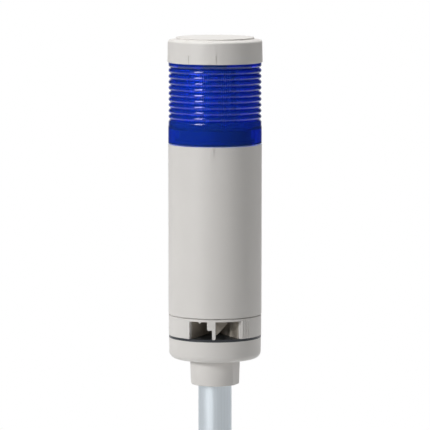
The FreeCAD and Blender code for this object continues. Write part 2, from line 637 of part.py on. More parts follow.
def make_sound_chamber():
    """Drum under the tube with a horn cut into its front, and a seat for the sounder."""
    body = new_body("sound_chamber", CHAMBER_BASE)
    height = "(size.ring_space + size.drum_spigot)"
    turned(body, "drum_section", box_loop("0", "0", DRUM_RADIUS, height))

    half = "size.mouth_angle / 2 * 1 deg"
    mouth_side = f"({DRUM_RADIUS} * sin({half}))"
    mouth_front = f"({DRUM_RADIUS} * cos({half}))"
    slope = f"(({mouth_side} - size.horn_end / 2) / ({mouth_front} + size.horn_depth))"
    far_side = f"(size.horn_end / 2 + ({DRUM_RADIUS} + size.horn_depth) * {slope})"
    horn = flat_sketch(body, "horn", loops=[[
        (f"-{far_side}", f"-{DRUM_RADIUS}"), (far_side, f"-{DRUM_RADIUS}"),
        ("size.horn_end / 2", "size.horn_depth"), ("-size.horn_end / 2", "size.horn_depth")]])
    feature(body, "Pocket", horn, Length="size.chamber_height", Reversed=True)

    web_back = "(size.web_front - size.web_thick)"
    web_far = f"(size.horn_end / 2 + ({web_back} + size.horn_depth) * {slope})"
    web = upright_sketch(body, "horn_web", out=web_back, loops=[[
        ("size.web_side", "size.chamber_height"), ("size.web_side", "size.web_low"),
        ("size.web_side * 2", "size.web_low"), (web_far, "size.chamber_height")]])
    feature(body, "Pad", web, Length="size.web_thick")

    throat = flat_sketch(body, "throat", "size.chamber_height",
                         circles=[("0", "-size.throat_front", "size.throat_dia / 2")])
    feature(body, "Pocket", throat, Length=f"{height} - size.chamber_height", Reversed=True)
    wire = flat_sketch(body, "drum_wire_hole", circles=[(*WIRE_PLACE, "size.wire_hole_dia / 2")])
    feature(body, "Pocket", wire, Length=height, Reversed=True)
    rim = upright_sketch(body, "sounder_rim", loops=[box_loop(
        SOUNDER_SEAT, height, f"{SOUNDER_SEAT} + size.rim_wall", f"{height} + size.rim_height")])
    feature(body, "Revolution", rim, Angle=360.0)

    groove_width = "(size.ring_travel + size.stop_width + 2 * size.stop_play)"
    groove_middle = "(size.stop_turn - size.ring_travel / 2)"
    groove_floor = f"({RING_BORE} - size.stop_reach - size.turn_gap)"
    groove_low = "(size.ring_play + size.stop_base - size.turn_gap)"
    groove_high = "(size.ring_play + size.stop_base + size.stop_height + size.turn_gap)"
    sector(body, "Groove", "stop_groove", groove_middle, groove_width,
           box_loop(groove_floor, groove_low, RING_BORE, groove_high))
    hole = flat_sketch(body, "drum_screw_hole", circles=[("0", SCREW_RADIUS, SCREW_HOLE)])
    cut = feature(body, "Pocket", hole, Length=height, Reversed=True)
    around(body, [cut], "size.screw_count")


def make_volume_ring():
    """Ring that turns over the horn's mouth: window, stepped tab, nub, stop lug and grip ribs."""
    body = new_body("volume_ring", RING_BASE)
    edge = "size.ring_edge"
    turned(body, "ring_section", [
        (RING_BORE, "0"), (RING_RADIUS, "0"), (RING_RADIUS, f"{RING_HEIGHT} - {edge}"),
        (f"{RING_RADIUS} - {edge}", RING_HEIGHT), (RING_BORE, RING_HEIGHT)])
    window_top = f"({RING_HEIGHT} - size.ring_rim)"
    inside = f"({RING_BORE} - size.turn_gap / 2)"
    outside = f"({RING_RADIUS} + size.turn_gap)"

    def opening(name, left, right, low, high):
        """Cut between two directions, each in degrees right of the front."""
        middle = f"(-90 + (({left}) + ({right})) / 2)"
        width = f"(({right}) - ({left}))"
        sector(body, "Groove", name, middle, width, box_loop(inside, low, outside, high))

    half = "size.mouth_angle / 2"
    below = f"-{edge}"
    opening("window_left", f"-{half}", "-size.tab_left", below, window_top)
    opening("window_right", "size.tab_right", half, below, window_top)
    opening("window_step", "-size.tab_left", "-size.tab_stem_left", below, "size.tab_step")

    nub_inner = f"({RING_RADIUS} - size.ring_rim)"
    nub = upright_sketch(body, "nub", turn="-size.nub_turn", out=nub_inner, loops=[[
        ("-size.nub_width / 2", f"{window_top} + {edge}"), ("-size.nub_width / 2", window_top),
        ("0", f"{window_top} - size.nub_drop"), ("size.nub_width / 2", window_top),
        ("size.nub_width / 2", f"{window_top} + {edge}")]])
    feature(body, "Pad", nub, Length=f"size.ring_rim - {edge}")
    sector(body, "Revolution", "stop_lug", "size.stop_turn", "size.stop_width", box_loop(
        f"{RING_BORE} - size.stop_reach", "size.stop_base",
        f"{RING_BORE} + size.turn_gap", "size.stop_base + size.stop_height"))

    rib = "(size.grip_dia / 2)"
    centre = f"({RING_RADIUS} + size.grip_proud - {rib})"
    grip = flat_sketch(body, "grip_rib", edge, circles=[
        (f"{centre} * sin(size.grip_turn * 1 deg)", f"-{centre} * cos(size.grip_turn * 1 deg)", rib)])
    around(body, [feature(body, "Pad", grip, Length="size.grip_height - size.ring_edge")],
           "size.grip_count", "size.grip_pitch * (size.grip_count - 1)")

    def upright_edges(level, *turns):
        """Test for the edges across the wall at a height and at one of some directions."""
        def test(edge_shape):
            middle = edge_shape.CenterOfMass
            aside = min(abs(direction(middle) - turn) for turn in turns)
            return aside < NEAR and abs(middle.z - level) < NEAR
        return test

    rounded(body, "size.stem_round", upright_edges(
        0, -number("size.tab_stem_left"), number("size.tab_right")))
    rounded(body, "size.tab_round", upright_edges(
        number("size.tab_step"), -number("size.tab_left")))


# ------------------------------------------------------------------ sounder

def make_sounder_case():
    """Round case, open at the back, with a sound hole over the throat and a ledge for its disc."""
    body = new_body("sounder_case", DRUM_TOP)
    bore = f"({SOUNDER_RADIUS} - size.sounder_wall)"
    disc = f"({PIEZO_RADIUS} + size.fit_gap)"
    turned(body, "case_section", [
        ("0", "0"), (SOUNDER_RADIUS, "0"), (SOUNDER_RADIUS, "size.sounder_height"),
        (bore, "size.sounder_height"), (bore, "size.piezo_level + size.piezo_thick"),
        (disc, "size.piezo_level + size.piezo_thick"), (disc, "size.piezo_level"),
        (f"{disc} - size.piezo_ledge", "size.piezo_level"),
        (f"{disc} - size.piezo_ledge", "size.sounder_wall"), ("0", "size.sounder_wall")])
    hole = flat_sketch(body, "case_hole",
                       circles=[("0", "-size.throat_front", "size.throat_dia / 2")])
    feature(body, "Pocket", hole, Length="size.sounder_wall", Reversed=True)


def make_sounder_disc():
    """Thin brass disc that makes the sound."""
    body = new_body("sounder_disc", f"{DRUM_TOP} + size.piezo_level")
    turned(body, "disc_section", box_loop("0", "0", PIEZO_RADIUS, "size.piezo_thick"))


def make_sounder_cover():
    """Back of the sounder, let into the case, with two holes for its leads."""
    body = new_body("sounder_cover", f"{DRUM_TOP} + size.sounder_height - size.cover_thick")
    outer = f"({SOUNDER_RADIUS} - size.sounder_wall)"
    turned(body, "cover_section", box_loop("0", "0", outer, "size.cover_thick"))
    hole = "(size.lead_dia / 2 + size.fit_gap)"
    holes = flat_sketch(body, "cover_holes", circles=[
        ("-size.lead_spread / 2", LEAD_BACK, hole), ("size.lead_spread / 2", LEAD_BACK, hole)])
    feature(body, "Pocket", holes, Length="size.cover_thick", Reversed=True)


def make_sounder_leads():
    """Two stiff leads from the sounder's back to the face of the driver board."""
    radius = "size.lead_dia / 2"
    cover = f"({DRUM_TOP} + size.sounder_height - size.cover_thick)"
    body = new_body("sounder_leads", cover)
    leads = flat_sketch(body, "lead_circles", circles=[
        ("-size.lead_spread / 2", LEAD_BACK, radius), ("size.lead_spread / 2", LEAD_BACK, radius)])
    feature(body, "Pad", leads, Length=f"{DRIVER_BASE} + size.pin_overlap - {cover}")


# ------------------------------------------------------------------ twist locks

def lock_lugs(body, name, inner, outer, low, high):
    """Lugs of a twist lock, evenly round the axis."""
    lug = sector(body, "Revolution", name, "size.lug_turn", "size.lug_angle",
                 box_loop(inner, low, outer, high))
    around(body, [lug], "size.lug_count")


def lock_stops(body, name, sense, inner, outer, low, high):
    """Ribs that the other piece's lugs meet when locked and when free.

    sense is 1 where those lugs turn counterclockwise from above to come free, or -1.
    """
    play = "(size.stop_play + size.stop_rib / 2 + size.lug_angle / 2)"
    locked = sector(body, "Revolution", f"{name}_locked", f"size.lug_turn - {sense} * {play}",
                    "size.stop_rib", box_loop(inner, low, outer, high))
    free = sector(body, "Revolution", f"{name}_free",
                  f"size.lug_turn + {sense} * (size.twist_travel + {play})",
                  "size.stop_rib", box_loop(inner, low, outer, high))
    around(body, [locked, free], "size.lug_count")


# ------------------------------------------------------------------ tube

def make_body_tube():
    """Long plain tube with an index rib, a twist lock at the top and screw bosses at the foot."""
    body = new_body("body_tube", TUBE_BASE)
    edge = "size.tube_edge"
    seat = f"({PLATE_BASE} - {TUBE_BASE})"
    ledge = f"({TUBE_BORE} - size.ledge_width)"
    turned(body, "tube_section", [
        (TUBE_BORE, "0"), (f"{TUBE_FOOT} - {edge}", "0"), (TUBE_FOOT, edge),
        (TUBE_RADIUS, f"size.tube_length - {edge}"), (f"{TUBE_RADIUS} - {edge}", "size.tube_length"),
        (TUBE_BORE, "size.tube_length"), (TUBE_BORE, seat), (ledge, seat),
        (ledge, f"{seat} - size.ledge_width"), (TUBE_BORE, f"{seat} - 2 * size.ledge_width")])

    bury = f"({TUBE_BORE} + size.root)"
    lug_inner = f"({LENS_SPIGOT} + size.turn_gap)"
    lock_lugs(body, "tube_lug", lug_inner, bury, TUBE_LUG_BASE, f"{TUBE_LUG_BASE} + size.lug_height")
    lock_stops(body, "tube_stop", 1, lug_inner, bury,
               "size.tube_length - size.lens_spigot_length", TUBE_LUG_BASE)

    boss_low = "size.drum_spigot"
    boss = flat_sketch(body, "tube_boss", boss_low,
                       circles=[("0", SCREW_RADIUS, "size.tube_boss_dia / 2")])
    web = flat_sketch(body, "tube_boss_web", boss_low, loops=[box_loop(
        "-size.boss_web / 2", SCREW_RADIUS, "size.boss_web / 2", bury)])
    hole = flat_sketch(body, "tube_boss_hole", boss_low,
                       circles=[("0", SCREW_RADIUS, "size.screw_dia / 2 + size.fit_gap")])
    around(body, [
        feature(body, "Pad", boss, Length="size.tube_boss_height"),
        feature(body, "Pad", web, Length="size.tube_boss_height"),
        feature(body, "Pocket", hole, Length="size.thread_depth", Reversed=True)], "size.screw_count")

    board_front = "(size.driver_back - size.fit_gap)"
    board_rear = "(size.driver_back + size.board_thick + size.fit_gap)"
    near = f"({DRIVER_HALF} - size.guide_reach)"
    far = f"(sqrt({TUBE_BORE} ^ 2 - {board_rear} ^ 2) + size.root)"
    rib = "size.guide_width"
    stop_low = f"(size.driver_base - {rib})"
    guides = []
    for side in ("", "-"):
        guides.append(box_loop(f"{side}{near}", f"{board_front} - {rib}", f"{side}{far}", board_front))
        guides.append(box_loop(f"{side}{near}", board_rear, f"{side}{far}", f"{board_rear} + {rib}"))
    rails = flat_sketch(body, "board_guides", stop_low, loops=guides)
    feature(body, "Pad", rails, Length=f"{DRIVER_HEIGHT} + {rib}")
    shelves = flat_sketch(body, "board_shelves", stop_low, loops=[
        box_loop(f"{side}{near}", board_front, f"{side}{far}", board_rear) for side in ("", "-")])
    feature(body, "Pad", shelves, Length=rib)

    sink = f"({TUBE_RADIUS} - size.root)"
    half = "(size.index_width / 2)"
    low = "(size.tube_length - size.index_length)"
    index = upright_sketch(body, "index_rib", turn="-size.index_turn", out=sink, loops=[[
        (f"-{half}", f"{low} + {half}", "left", half), ("0", low, "left", half),
        (half, f"{low} + {half}"), (half, "size.tube_length"), (f"-{half}", "size.tube_length")]])
    feature(body, "Pad", index, Length="size.root + size.index_proud")


# ------------------------------------------------------------------ lens and its seal rings

def make_lens():
    """Blue lens: beads outside, fine upright flutes inside, a twist lock at both ends."""
    body = new_body("lens", LENS_BASE)
    corner = "size.band_corner"
    neck_bore = f"({LENS_NECK} - size.lens_neck_wall)"
    step = f"({BAND_RADIUS} - {BEAD_RADIUS})"
    top = "(size.lens_height + size.lens_neck_height)"
    beads = []
    for place in range(int(number("size.bead_count"))):
        low = f"(size.band_top + size.bead_land / 2 + {place} * {BEAD_PITCH})"
        beads.append((GROOVE_RADIUS, low, "left", BEAD_ARC))
        beads.append((GROOVE_RADIUS, f"{low} + {BEAD_CHORD}"))
    turned(body, "lens_section", [
        (SPIGOT_BORE, "-size.lens_spigot_length"),
        (LENS_SPIGOT, "-size.lens_spigot_length"), (LENS_SPIGOT, "0"),
        (f"{BAND_RADIUS} - {corner}", "0", "left", corner), (BAND_RADIUS, corner),
        (BAND_RADIUS, "size.band_step"), (BEAD_RADIUS, f"size.band_step + {step}"),
        (BEAD_RADIUS, "size.band_top - size.bead_depth", "left", "size.bead_depth"),
        (GROOVE_RADIUS, "size.band_top"), *beads,
        (GROOVE_RADIUS, TOP_GROOVE, "left", "size.bead_depth"),
        (BEAD_RADIUS, f"{TOP_GROOVE} + size.bead_depth"), (BEAD_RADIUS, "size.lens_height"),
        (LENS_NECK, "size.lens_height"), (LENS_NECK, top), (neck_bore, top),
        (neck_bore, "size.lens_height - size.lens_neck_wall"),
        (LENS_BORE, "size.lens_height - 2 * size.lens_neck_wall"), (LENS_BORE, "size.lens_ledge"),
        (SPIGOT_BORE, "size.lens_ledge")])

    flute_low = "size.holder_top"
    flute_length = "(size.lens_height - 2 * size.lens_neck_wall - size.holder_top)"
    inside = f"({LENS_BORE} - size.flute_depth / 2)"
    half = "size.flute_width / 2"
    flute = flat_sketch(body, "flute", flute_low, loops=[[
        (inside, f"-{half}"), (f"{LENS_BORE} + size.flute_depth", "0"), (inside, half)]])
    cut = feature(body, "Pocket", flute, Length=flute_length, Reversed=True)
    around(body, [cut], "size.flute_count")

    lock_lugs(body, "spigot_lug", f"{LENS_SPIGOT} - size.root", LENS_LUG,
              "-size.lens_spigot_length", "size.lug_height - size.lens_spigot_length")
    neck_low = f"(size.seat_gap + {CAP_LUG_TOP} + size.lug_gap + size.lens_height)"
    lock_lugs(body, "neck_lug", f"{LENS_NECK} - size.root", NECK_LUG,
              neck_low, f"{neck_low} + size.lug_height")


def make_seal_ring(label, level, spigot):
    """Flat seal ring round a spigot of the lens."""
    body = new_body(label, level)
    turned(body, f"{label}_section", box_loop(
        f"({spigot} + size.fit_gap)", "0", f"{spigot} + size.lug_reach", "size.gasket_thick"))


def make_lens_gasket():
    """Seal ring under the lens, in the mouth of the tube."""
    make_seal_ring("lens_gasket", f"{LENS_BASE} - size.gasket_thick", LENS_SPIGOT)


def make_cap_gasket():
    """Seal ring on the lens's shoulder, inside the cap."""
    make_seal_ring("cap_gasket", f"{LENS_BASE} + size.lens_height", LENS_NECK)


# ------------------------------------------------------------------ cap

def make_head_cap():
    """Cap with a raised disc, a twist lock inside and two marks on its side."""
    body = new_body("head_cap", CAP_BASE)
    edge = "size.cap_edge"
    shoulder = "(size.cap_side + size.cap_slope)"
    ceiling = f"({CAP_TOP} - size.cap_wall)"
    inner_low = "(size.cap_side - size.cap_wall)"
    turned(body, "cap_section", [
        (CAP_BORE, "0"), (f"{CAP_SKIRT} - {edge}", "0"), (CAP_SKIRT, edge),
        (CAP_RADIUS, "size.cap_side - size.cap_round", "left", "size.cap_round"),
        (f"{CAP_RADIUS} - size.cap_round", "size.cap_side"), (DISC_RADIUS, shoulder),
        (DISC_RADIUS, f"{CAP_TOP} - size.disc_edge", "left", "size.disc_edge"),
        (f"{DISC_RADIUS} - size.disc_edge", CAP_TOP), ("0", CAP_TOP), ("0", ceiling),
        (f"{DISC_RADIUS} - size.cap_wall", ceiling), (f"{CAP_BORE} - size.cap_round", inner_low),
        (CAP_BORE, f"{inner_low} - size.cap_round")])
    inner = f"({LENS_NECK} + size.turn_gap)"
    bury = f"({CAP_BORE} + size.root)"
    lock_lugs(body, "cap_lug", inner, bury, "size.cap_lug_base", CAP_LUG_TOP)
    lock_stops(body, "cap_stop", -1, inner, bury, CAP_LUG_TOP,
               f"{CAP_LUG_TOP} + size.lug_gap + size.lug_height")

    sink = f"({CAP_RADIUS} - size.root)"
    reach = f"{CAP_SKIRT} + size.mark_proud - {sink}"
    line = upright_sketch(body, "line_mark", turn="-size.line_turn", out=sink, loops=[box_loop(
        "-size.line_width / 2", edge, "size.line_width / 2", "size.line_height")])
    feature(body, "Pad", line, Length=reach)
    half = "size.wedge_width / 2"
    wedge_top = f"({edge} + size.wedge_base + size.wedge_height)"
    wedge = upright_sketch(body, "wedge_mark", turn="-size.wedge_turn", out=sink, loops=[[
        (f"-{half}", "size.wedge_base"), (half, edge), (half, wedge_top)]])
    feature(body, "Pad", wedge, Length=reach)


# ------------------------------------------------------------------ lamp inside the lens

def make_led_holder():
    """Round holder that hangs on the lens's ledge and carries the lamp boards."""
    body = new_body("led_holder", f"{LENS_BASE} - size.holder_drop")
    low_outer = f"({SPIGOT_BORE} - size.fit_gap)"
    outer = f"({low_outer} - size.holder_step)"
    inner = f"({low_outer} - size.holder_wall)"
    ledge = "(size.holder_drop + size.lens_ledge)"
    flange = f"({LENS_BORE} - size.fit_gap)"
    top = "(size.holder_drop + size.holder_top)"
    turned(body, "holder_section", [
        ("0", "0"), (low_outer, "0"), (low_outer, ledge), (flange, ledge),
        (flange, f"{ledge} + size.flange_thick"), (outer, f"{ledge} + size.flange_thick"),
        (outer, top), (inner, top), (inner, "size.holder_wall"), ("0", "size.holder_wall")])


def make_contact_rings():
    """Three brass rings under the holder, one per wire."""
    body = new_body("contact_rings", TRACK_BASE)
    loops = []
    for place in range(int(number("size.track_count"))):
        inner = f"(size.track_inner + {place} * size.track_pitch - size.track_width / 2)"
        loops.append(box_loop(inner, "0", f"{inner} + size.track_width", "size.track_thick"))
    section = upright_sketch(body, "ring_sections", loops=loops)
    feature(body, "Revolution", section, Angle=360.0)


def make_base_board():
    """Round circuit board on top of the holder."""
    body = new_body("led_base_board", BASE_BOARD_BASE)
    radius = f"({LENS_BORE} - size.base_board_inset)"
    turned(body, "base_board_section", box_loop("0", "0", radius, "size.board_thick"))


def make_tower_board(label, turn):
    """One upright lamp board of the square tower."""
    body = new_body(label, TOWER_BASE)
    half = f"({TOWER_HALF} - size.fit_gap)"
    board = upright_sketch(body, f"{label}_face", turn=turn, out=TOWER_HALF,
                           loops=[box_loop(f"-{half}", "0", half, TOWER_HEIGHT)])
    feature(body, "Pad", board, Length="size.tower_thick")


def make_top_board():
    """Small square board that ties the tower together."""
    body = new_body("led_top_board", TOWER_TOP)
    half = "size.top_board / 2"
    board = flat_sketch(body, "top_board_face", loops=[box_loop(f"-{half}", f"-{half}", half, half)])
    feature(body, "Pad", board, Length="size.tower_thick")


def make_leds():
    """Lamp chips: two columns on each side of the tower."""
    body = new_body("leds", TOWER_BASE)
    loops = []
    middle = f"({TOWER_HEIGHT} / 2)"
    for row in range(int(number("size.led_rows"))):
        low = f"({middle} + ({row} - (size.led_rows - 1) / 2) * {CHIP_PITCH} - size.led_height / 2)"
        for side in ("", "-"):
            left = f"({side}size.led_spread / 2 - size.led_width / 2)"
            loops.append(box_loop(left, low, f"{left} + size.led_width", f"{low} + size.led_height"))
    chips = upright_sketch(body, "chips", out="size.tower_width / 2", loops=loops)
    around(body, [feature(body, "Pad", chips, Length="size.led_thick")], TOWER_SIDES)


# ------------------------------------------------------------------ contacts and driver in the tube

def make_contact_plate():
    """Disc on the tube's ledge that carries the contact springs."""
    body = new_body("contact_plate", PLATE_BASE)
    radius = f"({TUBE_BORE} - size.fit_gap)"
    turned(body, "plate_section", box_loop("0", "0", radius, "size.plate_thick"))
    hole = "(size.pin_dia / 2 + size.fit_gap)"
    holes = flat_sketch(body, "plate_holes", circles=[
        (f"{place} * size.pin_pitch", PIN_BACK, hole) for place in (-1, 0, 1)])
    feature(body, "Pocket", holes, Length="size.plate_thick", Reversed=True)


def make_contact_springs():
    """Three leaf springs on the plate, each bowed up under its own ring."""
    body = new_body("contact_springs", PLATE_TOP)
    rise = f"({TRACK_BASE} - {PLATE_TOP} - size.lug_gap)"
    thick = "size.spring_thick"
    for place in range(int(number("size.track_count"))):
        near = f"(size.track_inner + {place} * size.track_pitch)"
        foot = f"({near} - size.spring_foot)"
        tip = f"({near} - size.spring_foot / 2)"
        turn = f"size.lug_turn + {place} * 360 / size.track_count"
        leaf = upright_sketch(body, f"spring_leaf_{place}", turn=turn, loops=[[
            (foot, "0"), (f"{near} + {thick}", "0"), (f"{near} + {thick}", rise), (tip, rise),
            (tip, f"{rise} - {thick}"), (near, f"{rise} - {thick}"), (near, thick), (foot, thick)]])
        feature(body, "Pad", leaf, Length="size.spring_width", Midplane=True)


def make_driver_board():
    """Upright circuit board held by the tube's guide ribs."""
    body = new_body("driver_board", DRIVER_BASE)
    board = upright_sketch(body, "driver_face", out="-size.driver_back - size.board_thick",
                           loops=[box_loop(f"-{DRIVER_HALF}", "0", DRIVER_HALF, DRIVER_HEIGHT)])
    feature(body, "Pad", board, Length="size.board_thick")


def make_board_pins():
    """Three pins from the driver board up through the contact plate."""
    rise = f"({DRIVER_BASE} + {DRIVER_HEIGHT} - size.pin_overlap)"
    body = new_body("board_pins", rise)
    pins = flat_sketch(body, "pin_circles", circles=[
        (f"{place} * size.pin_pitch", PIN_BACK, "size.pin_dia / 2") for place in (-1, 0, 1)])
    feature(body, "Pad", pins, Length=f"{PLATE_TOP} - {rise}")


def board_sketch(body, name, off="0", loops=(), circles=()):
    """Upright sketch on the front of the driver board, or a little way off it."""
    return upright_sketch(body, name, out=f"{off} - size.driver_back", loops=loops, circles=circles)


def terminal_ways():
    """Middle of each way of the terminal block."""
    count = int(number("size.terminal_count"))
    return [f"({place} - (size.terminal_count - 1) / 2) * size.terminal_pitch" for place in range(count)]


def make_terminal_block():
    """Screw terminal block for the supply, wires in from below."""
    body = new_body("terminal_block", f"{DRIVER_BASE} + size.terminal_level")
    half = "size.terminal_width / 2"
    block = board_sketch(body, "block_face",
                         loops=[box_loop(f"-{half}", "0", half, "size.terminal_height")])
    feature(body, "Pad", block, Length="size.terminal_depth")
    entry = "size.entry_size / 2"
    middle = "(size.driver_back - size.terminal_depth / 2)"
    entries = flat_sketch(body, "entries", loops=[
        box_loop(f"{way} - {entry}", f"{middle} - {entry}", f"{way} + {entry}", f"{middle} + {entry}")
        for way in terminal_ways()])
    feature(body, "Pocket", entries, Length="size.entry_depth", Reversed=True)
    wells = board_sketch(body, "clamp_wells", "size.terminal_depth", circles=[
        (way, CLAMP_LEVEL, "size.clamp_dia / 2 + size.fit_gap") for way in terminal_ways()])
    feature(body, "Pocket", wells, Length="size.clamp_depth")


def make_terminal_screws():
    """Clamp screws, one in each well of the terminal block."""
    body = new_body("terminal_screws", f"{DRIVER_BASE} + size.terminal_level")
    screws = board_sketch(body, "clamp_circles", "size.terminal_depth - size.clamp_depth", circles=[
        (way, CLAMP_LEVEL, "size.clamp_dia / 2") for way in terminal_ways()])
    feature(body, "Pad", screws, Length="size.clamp_depth - size.slot_depth / 2")


def make_capacitors():
    """Two round capacitors that stand off the driver board."""
    body = new_body("filter_capacitors", f"{DRIVER_BASE} + {CAPACITOR_LEVEL}")
    cans = board_sketch(body, "can_circles", circles=[
        (f"{side}size.capacitor_spread / 2", "0", "size.capacitor_dia / 2") for side in ("", "-")])
    feature(body, "Pad", cans, Length="size.capacitor_height")


def make_power_coil():
    """Coil on a ferrite bobbin with a flange at each end."""
    body = new_body("power_coil", f"{DRIVER_BASE} + {COIL_LEVEL}")
    flange = "size.coil_dia / 2"
    near = board_sketch(body, "near_flange", circles=[("0", "0", flange)])
    feature(body, "Pad", near, Length="size.coil_flange")
    core = board_sketch(body, "coil_core", circles=[("0", "0", "size.coil_core_dia / 2")])
    feature(body, "Pad", core, Length="size.coil_height")
    far = board_sketch(body, "far_flange", "size.coil_height - size.coil_flange",
                       circles=[("0", "0", flange)])
    feature(body, "Pad", far, Length="size.coil_flange")


def make_flasher_chip():
    """Control chip on the driver board."""
    body = new_body("flasher_chip", f"{DRIVER_BASE} + {CHIP_LEVEL}")
    wide = "size.chip_width / 2"
    tall = "size.chip_height / 2"
    chip = board_sketch(body, "chip_face", loops=[box_loop(f"-{wide}", f"-{tall}", wide, tall)])
    feature(body, "Pad", chip, Length="size.chip_thick")


# ------------------------------------------------------------------ assembly, checks and files

MAKERS = (
    make_pole, make_pole_washer, make_pole_nut, make_base_cup, make_base_screws, make_base_gasket,
    make_sound_chamber, make_volume_ring, make_sounder_case, make_sounder_disc, make_sounder_cover,
    make_sounder_leads, make_body_tube, make_driver_board, make_board_pins, make_terminal_block,
    make_terminal_screws, make_capacitors, make_power_coil, make_flasher_chip, make_contact_plate,
    make_contact_springs, make_contact_rings, make_led_holder, make_base_board, make_top_board,
    make_leds, make_lens, make_lens_gasket, make_cap_gasket, make_head_cap)

for make in MAKERS:
    make()
for side, turn in (("front", "0"), ("right", "90"), ("back", "180"), ("left", "270")):
    make_tower_board(f"led_board_{side}", turn)
document.recompute()

for item in document.Objects:
    if "Invalid" in item.State or "Error" in item.State:
        raise RuntimeError(f"{item.Label} failed: {item.State}")
for piece in PIECES:
    if piece.Shape.isNull() or not piece.Shape.isValid() or not piece.Shape.Solids:
        raise RuntimeError(f"{piece.Label} has no valid solid")
    before = None
    for step in piece.Group:
        if step.TypeId in CUTS and before is not None and step.Shape.Volume >= before:
            raise RuntimeError(f"{step.Label} in {piece.Label} cuts nothing")
        if hasattr(step, "Shape") and step.Shape.Solids:
            before = step.Shape.Volume

os.makedirs("parts", exist_ok=True)
for piece in PIECES:
    piece.Shape.exportStep(f"parts/{piece.Label}.step")
print(f"{len(PIECES)} pieces written")
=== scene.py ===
"""Looks of a 56 mm stack light: finishes, the fine lens, the lamp chips and the studio."""

import math

import bmesh
import bpy
from mathutils import Matrix, Vector


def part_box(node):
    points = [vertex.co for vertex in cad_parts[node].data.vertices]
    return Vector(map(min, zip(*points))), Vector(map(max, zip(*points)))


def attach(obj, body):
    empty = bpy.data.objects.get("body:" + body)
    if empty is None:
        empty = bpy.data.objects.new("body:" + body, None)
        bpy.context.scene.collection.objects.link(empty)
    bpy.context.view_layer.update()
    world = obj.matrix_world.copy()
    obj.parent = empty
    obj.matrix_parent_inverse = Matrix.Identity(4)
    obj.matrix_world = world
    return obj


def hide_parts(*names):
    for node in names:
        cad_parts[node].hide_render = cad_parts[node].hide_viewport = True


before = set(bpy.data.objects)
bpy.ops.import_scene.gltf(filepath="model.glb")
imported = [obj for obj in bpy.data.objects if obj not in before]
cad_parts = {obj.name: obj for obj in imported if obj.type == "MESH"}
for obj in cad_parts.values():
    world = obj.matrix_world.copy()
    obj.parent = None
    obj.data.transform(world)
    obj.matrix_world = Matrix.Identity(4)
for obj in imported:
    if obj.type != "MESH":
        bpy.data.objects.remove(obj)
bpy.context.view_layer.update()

bl_info = {
    "name": "Stack Light",
    "version": (1, 0, 0),
    "blender": (4, 5, 0),
    "location": "View3D > Sidebar > Stack Light",
    "description": "Finishes and fine pieces for a stack light with a blue lens and a sounder",
    "category": "Object",
}

MM = 0.001
PER_MM = 1 / MM
AXIS = (0, 0, 1)
QUARTER = math.pi / 2
LENS_LOW, LENS_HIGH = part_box("lens")
CHIPS_LOW, CHIPS_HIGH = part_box("leds")
BOARD_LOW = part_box("led_board_front")[0]

# Shaping. EDGE is the gap from a corner to the points beside it, and a lug's depth in its wall.
EDGE = 0.1 * MM
MERGE_GAP = 0.0005 * MM
CORNER_STEPS = 4
GROOVE_STEPS = 5
BEAD_STEPS = 9
LUG_STEPS = 6
LENS_SOFT_ANGLE = 30.0

# One flute, from point to point round the bore, as a share of its depth.
FLUTE = (0.0, 0.55, 1.0, 0.55)

# Lamp chip: its body's share of the chip's thickness, its bevel as a share of its width, its dome.
CHIP_BODY_SHARE = 0.85
CHIP_BEVEL = 0.06
CHIP_BEVEL_STEPS = 2
DOME_SEGMENTS, DOME_RINGS = 14, 7

# Patterns, in repeats a metre: one number, or one along each axis.
MOTTLE = 45.0
SHEEN = 420.0
GRAIN = 3200.0
BLOOM = 160.0
POWDER = 2400.0
TRACKS = 260.0
WEAVE = 900.0
TURNS = 500.0
FLOW = (60.0, 60.0, 25.0)
DRAWN_LINES = (900.0, 900.0, 14.0)
PLATED_SPECKS = (700.0, 700.0, 700.0)
STAMPED_LINES = (500.0, 500.0, 60.0)

# Heights of the relief on a surface.
GRAIN_RELIEF = 0.03 * MM
LINE_RELIEF = 0.01 * MM
TRACK_RELIEF = 0.04 * MM
TURN_RELIEF = 0.2 * MM

# Lamps: name, degrees right of the front, degrees up, metres away, width and height in metres,
# watts, whether it lights the object, and whether gloss mirrors it.
LAMPS = (
    ("key", -54, 15, 1.5, (0.55, 0.26), 10.5, True, False),
    ("strip", -43, 28, 1.5, (0.5, 1.2), 19.0, False, True),
    ("top", 0, 88, 1.5, (0.8, 0.8), 19.5, True, False),
    ("back_left", -135, 20, 1.6, (0.6, 0.8), 4.0, True, False),
    ("back_right", 135, 20, 1.6, (0.6, 0.8), 5.0, True, False),
)

# Studio. Heights and distances are in metres. Gloss sees white where a ray's share of straight
# back is past the range of WORLD_BEHIND, and the floor is white past the range of FLOOR_FADE.
AIM = Vector((0, 0, 0.2))
FLOOR_TONE = 0.6
FLOOR_SIDES = 96
FLOOR_FADE = (0.12, 0.38)
WORLD_FILL = 0.17
WORLD_DIM = 0.03
WORLD_BEHIND = (0.90, 0.99)
SENSOR_WIDTH_MM = 36.0
FOCAL_LENGTH_MM = 310.0
CAMERA_TARGET = Vector((0, 0, 0.2019))
CAMERA_DISTANCE = 2.22
CAMERA_PITCH = math.radians(6.1)
CAMERA_CLIP = (0.05, 50.0)


# ------------------------------------------------------------------ sizes and colours

def length(name, description, default):
    """Property that holds a length in metres."""
    return bpy.props.FloatProperty(
        name=name, description=description, default=default, unit="LENGTH", precision=5)


def colour(name, description, default):
    """Property that holds a colour."""
    return bpy.props.FloatVectorProperty(
        name=name, description=description, default=default, subtype="COLOR", min=0, max=1)


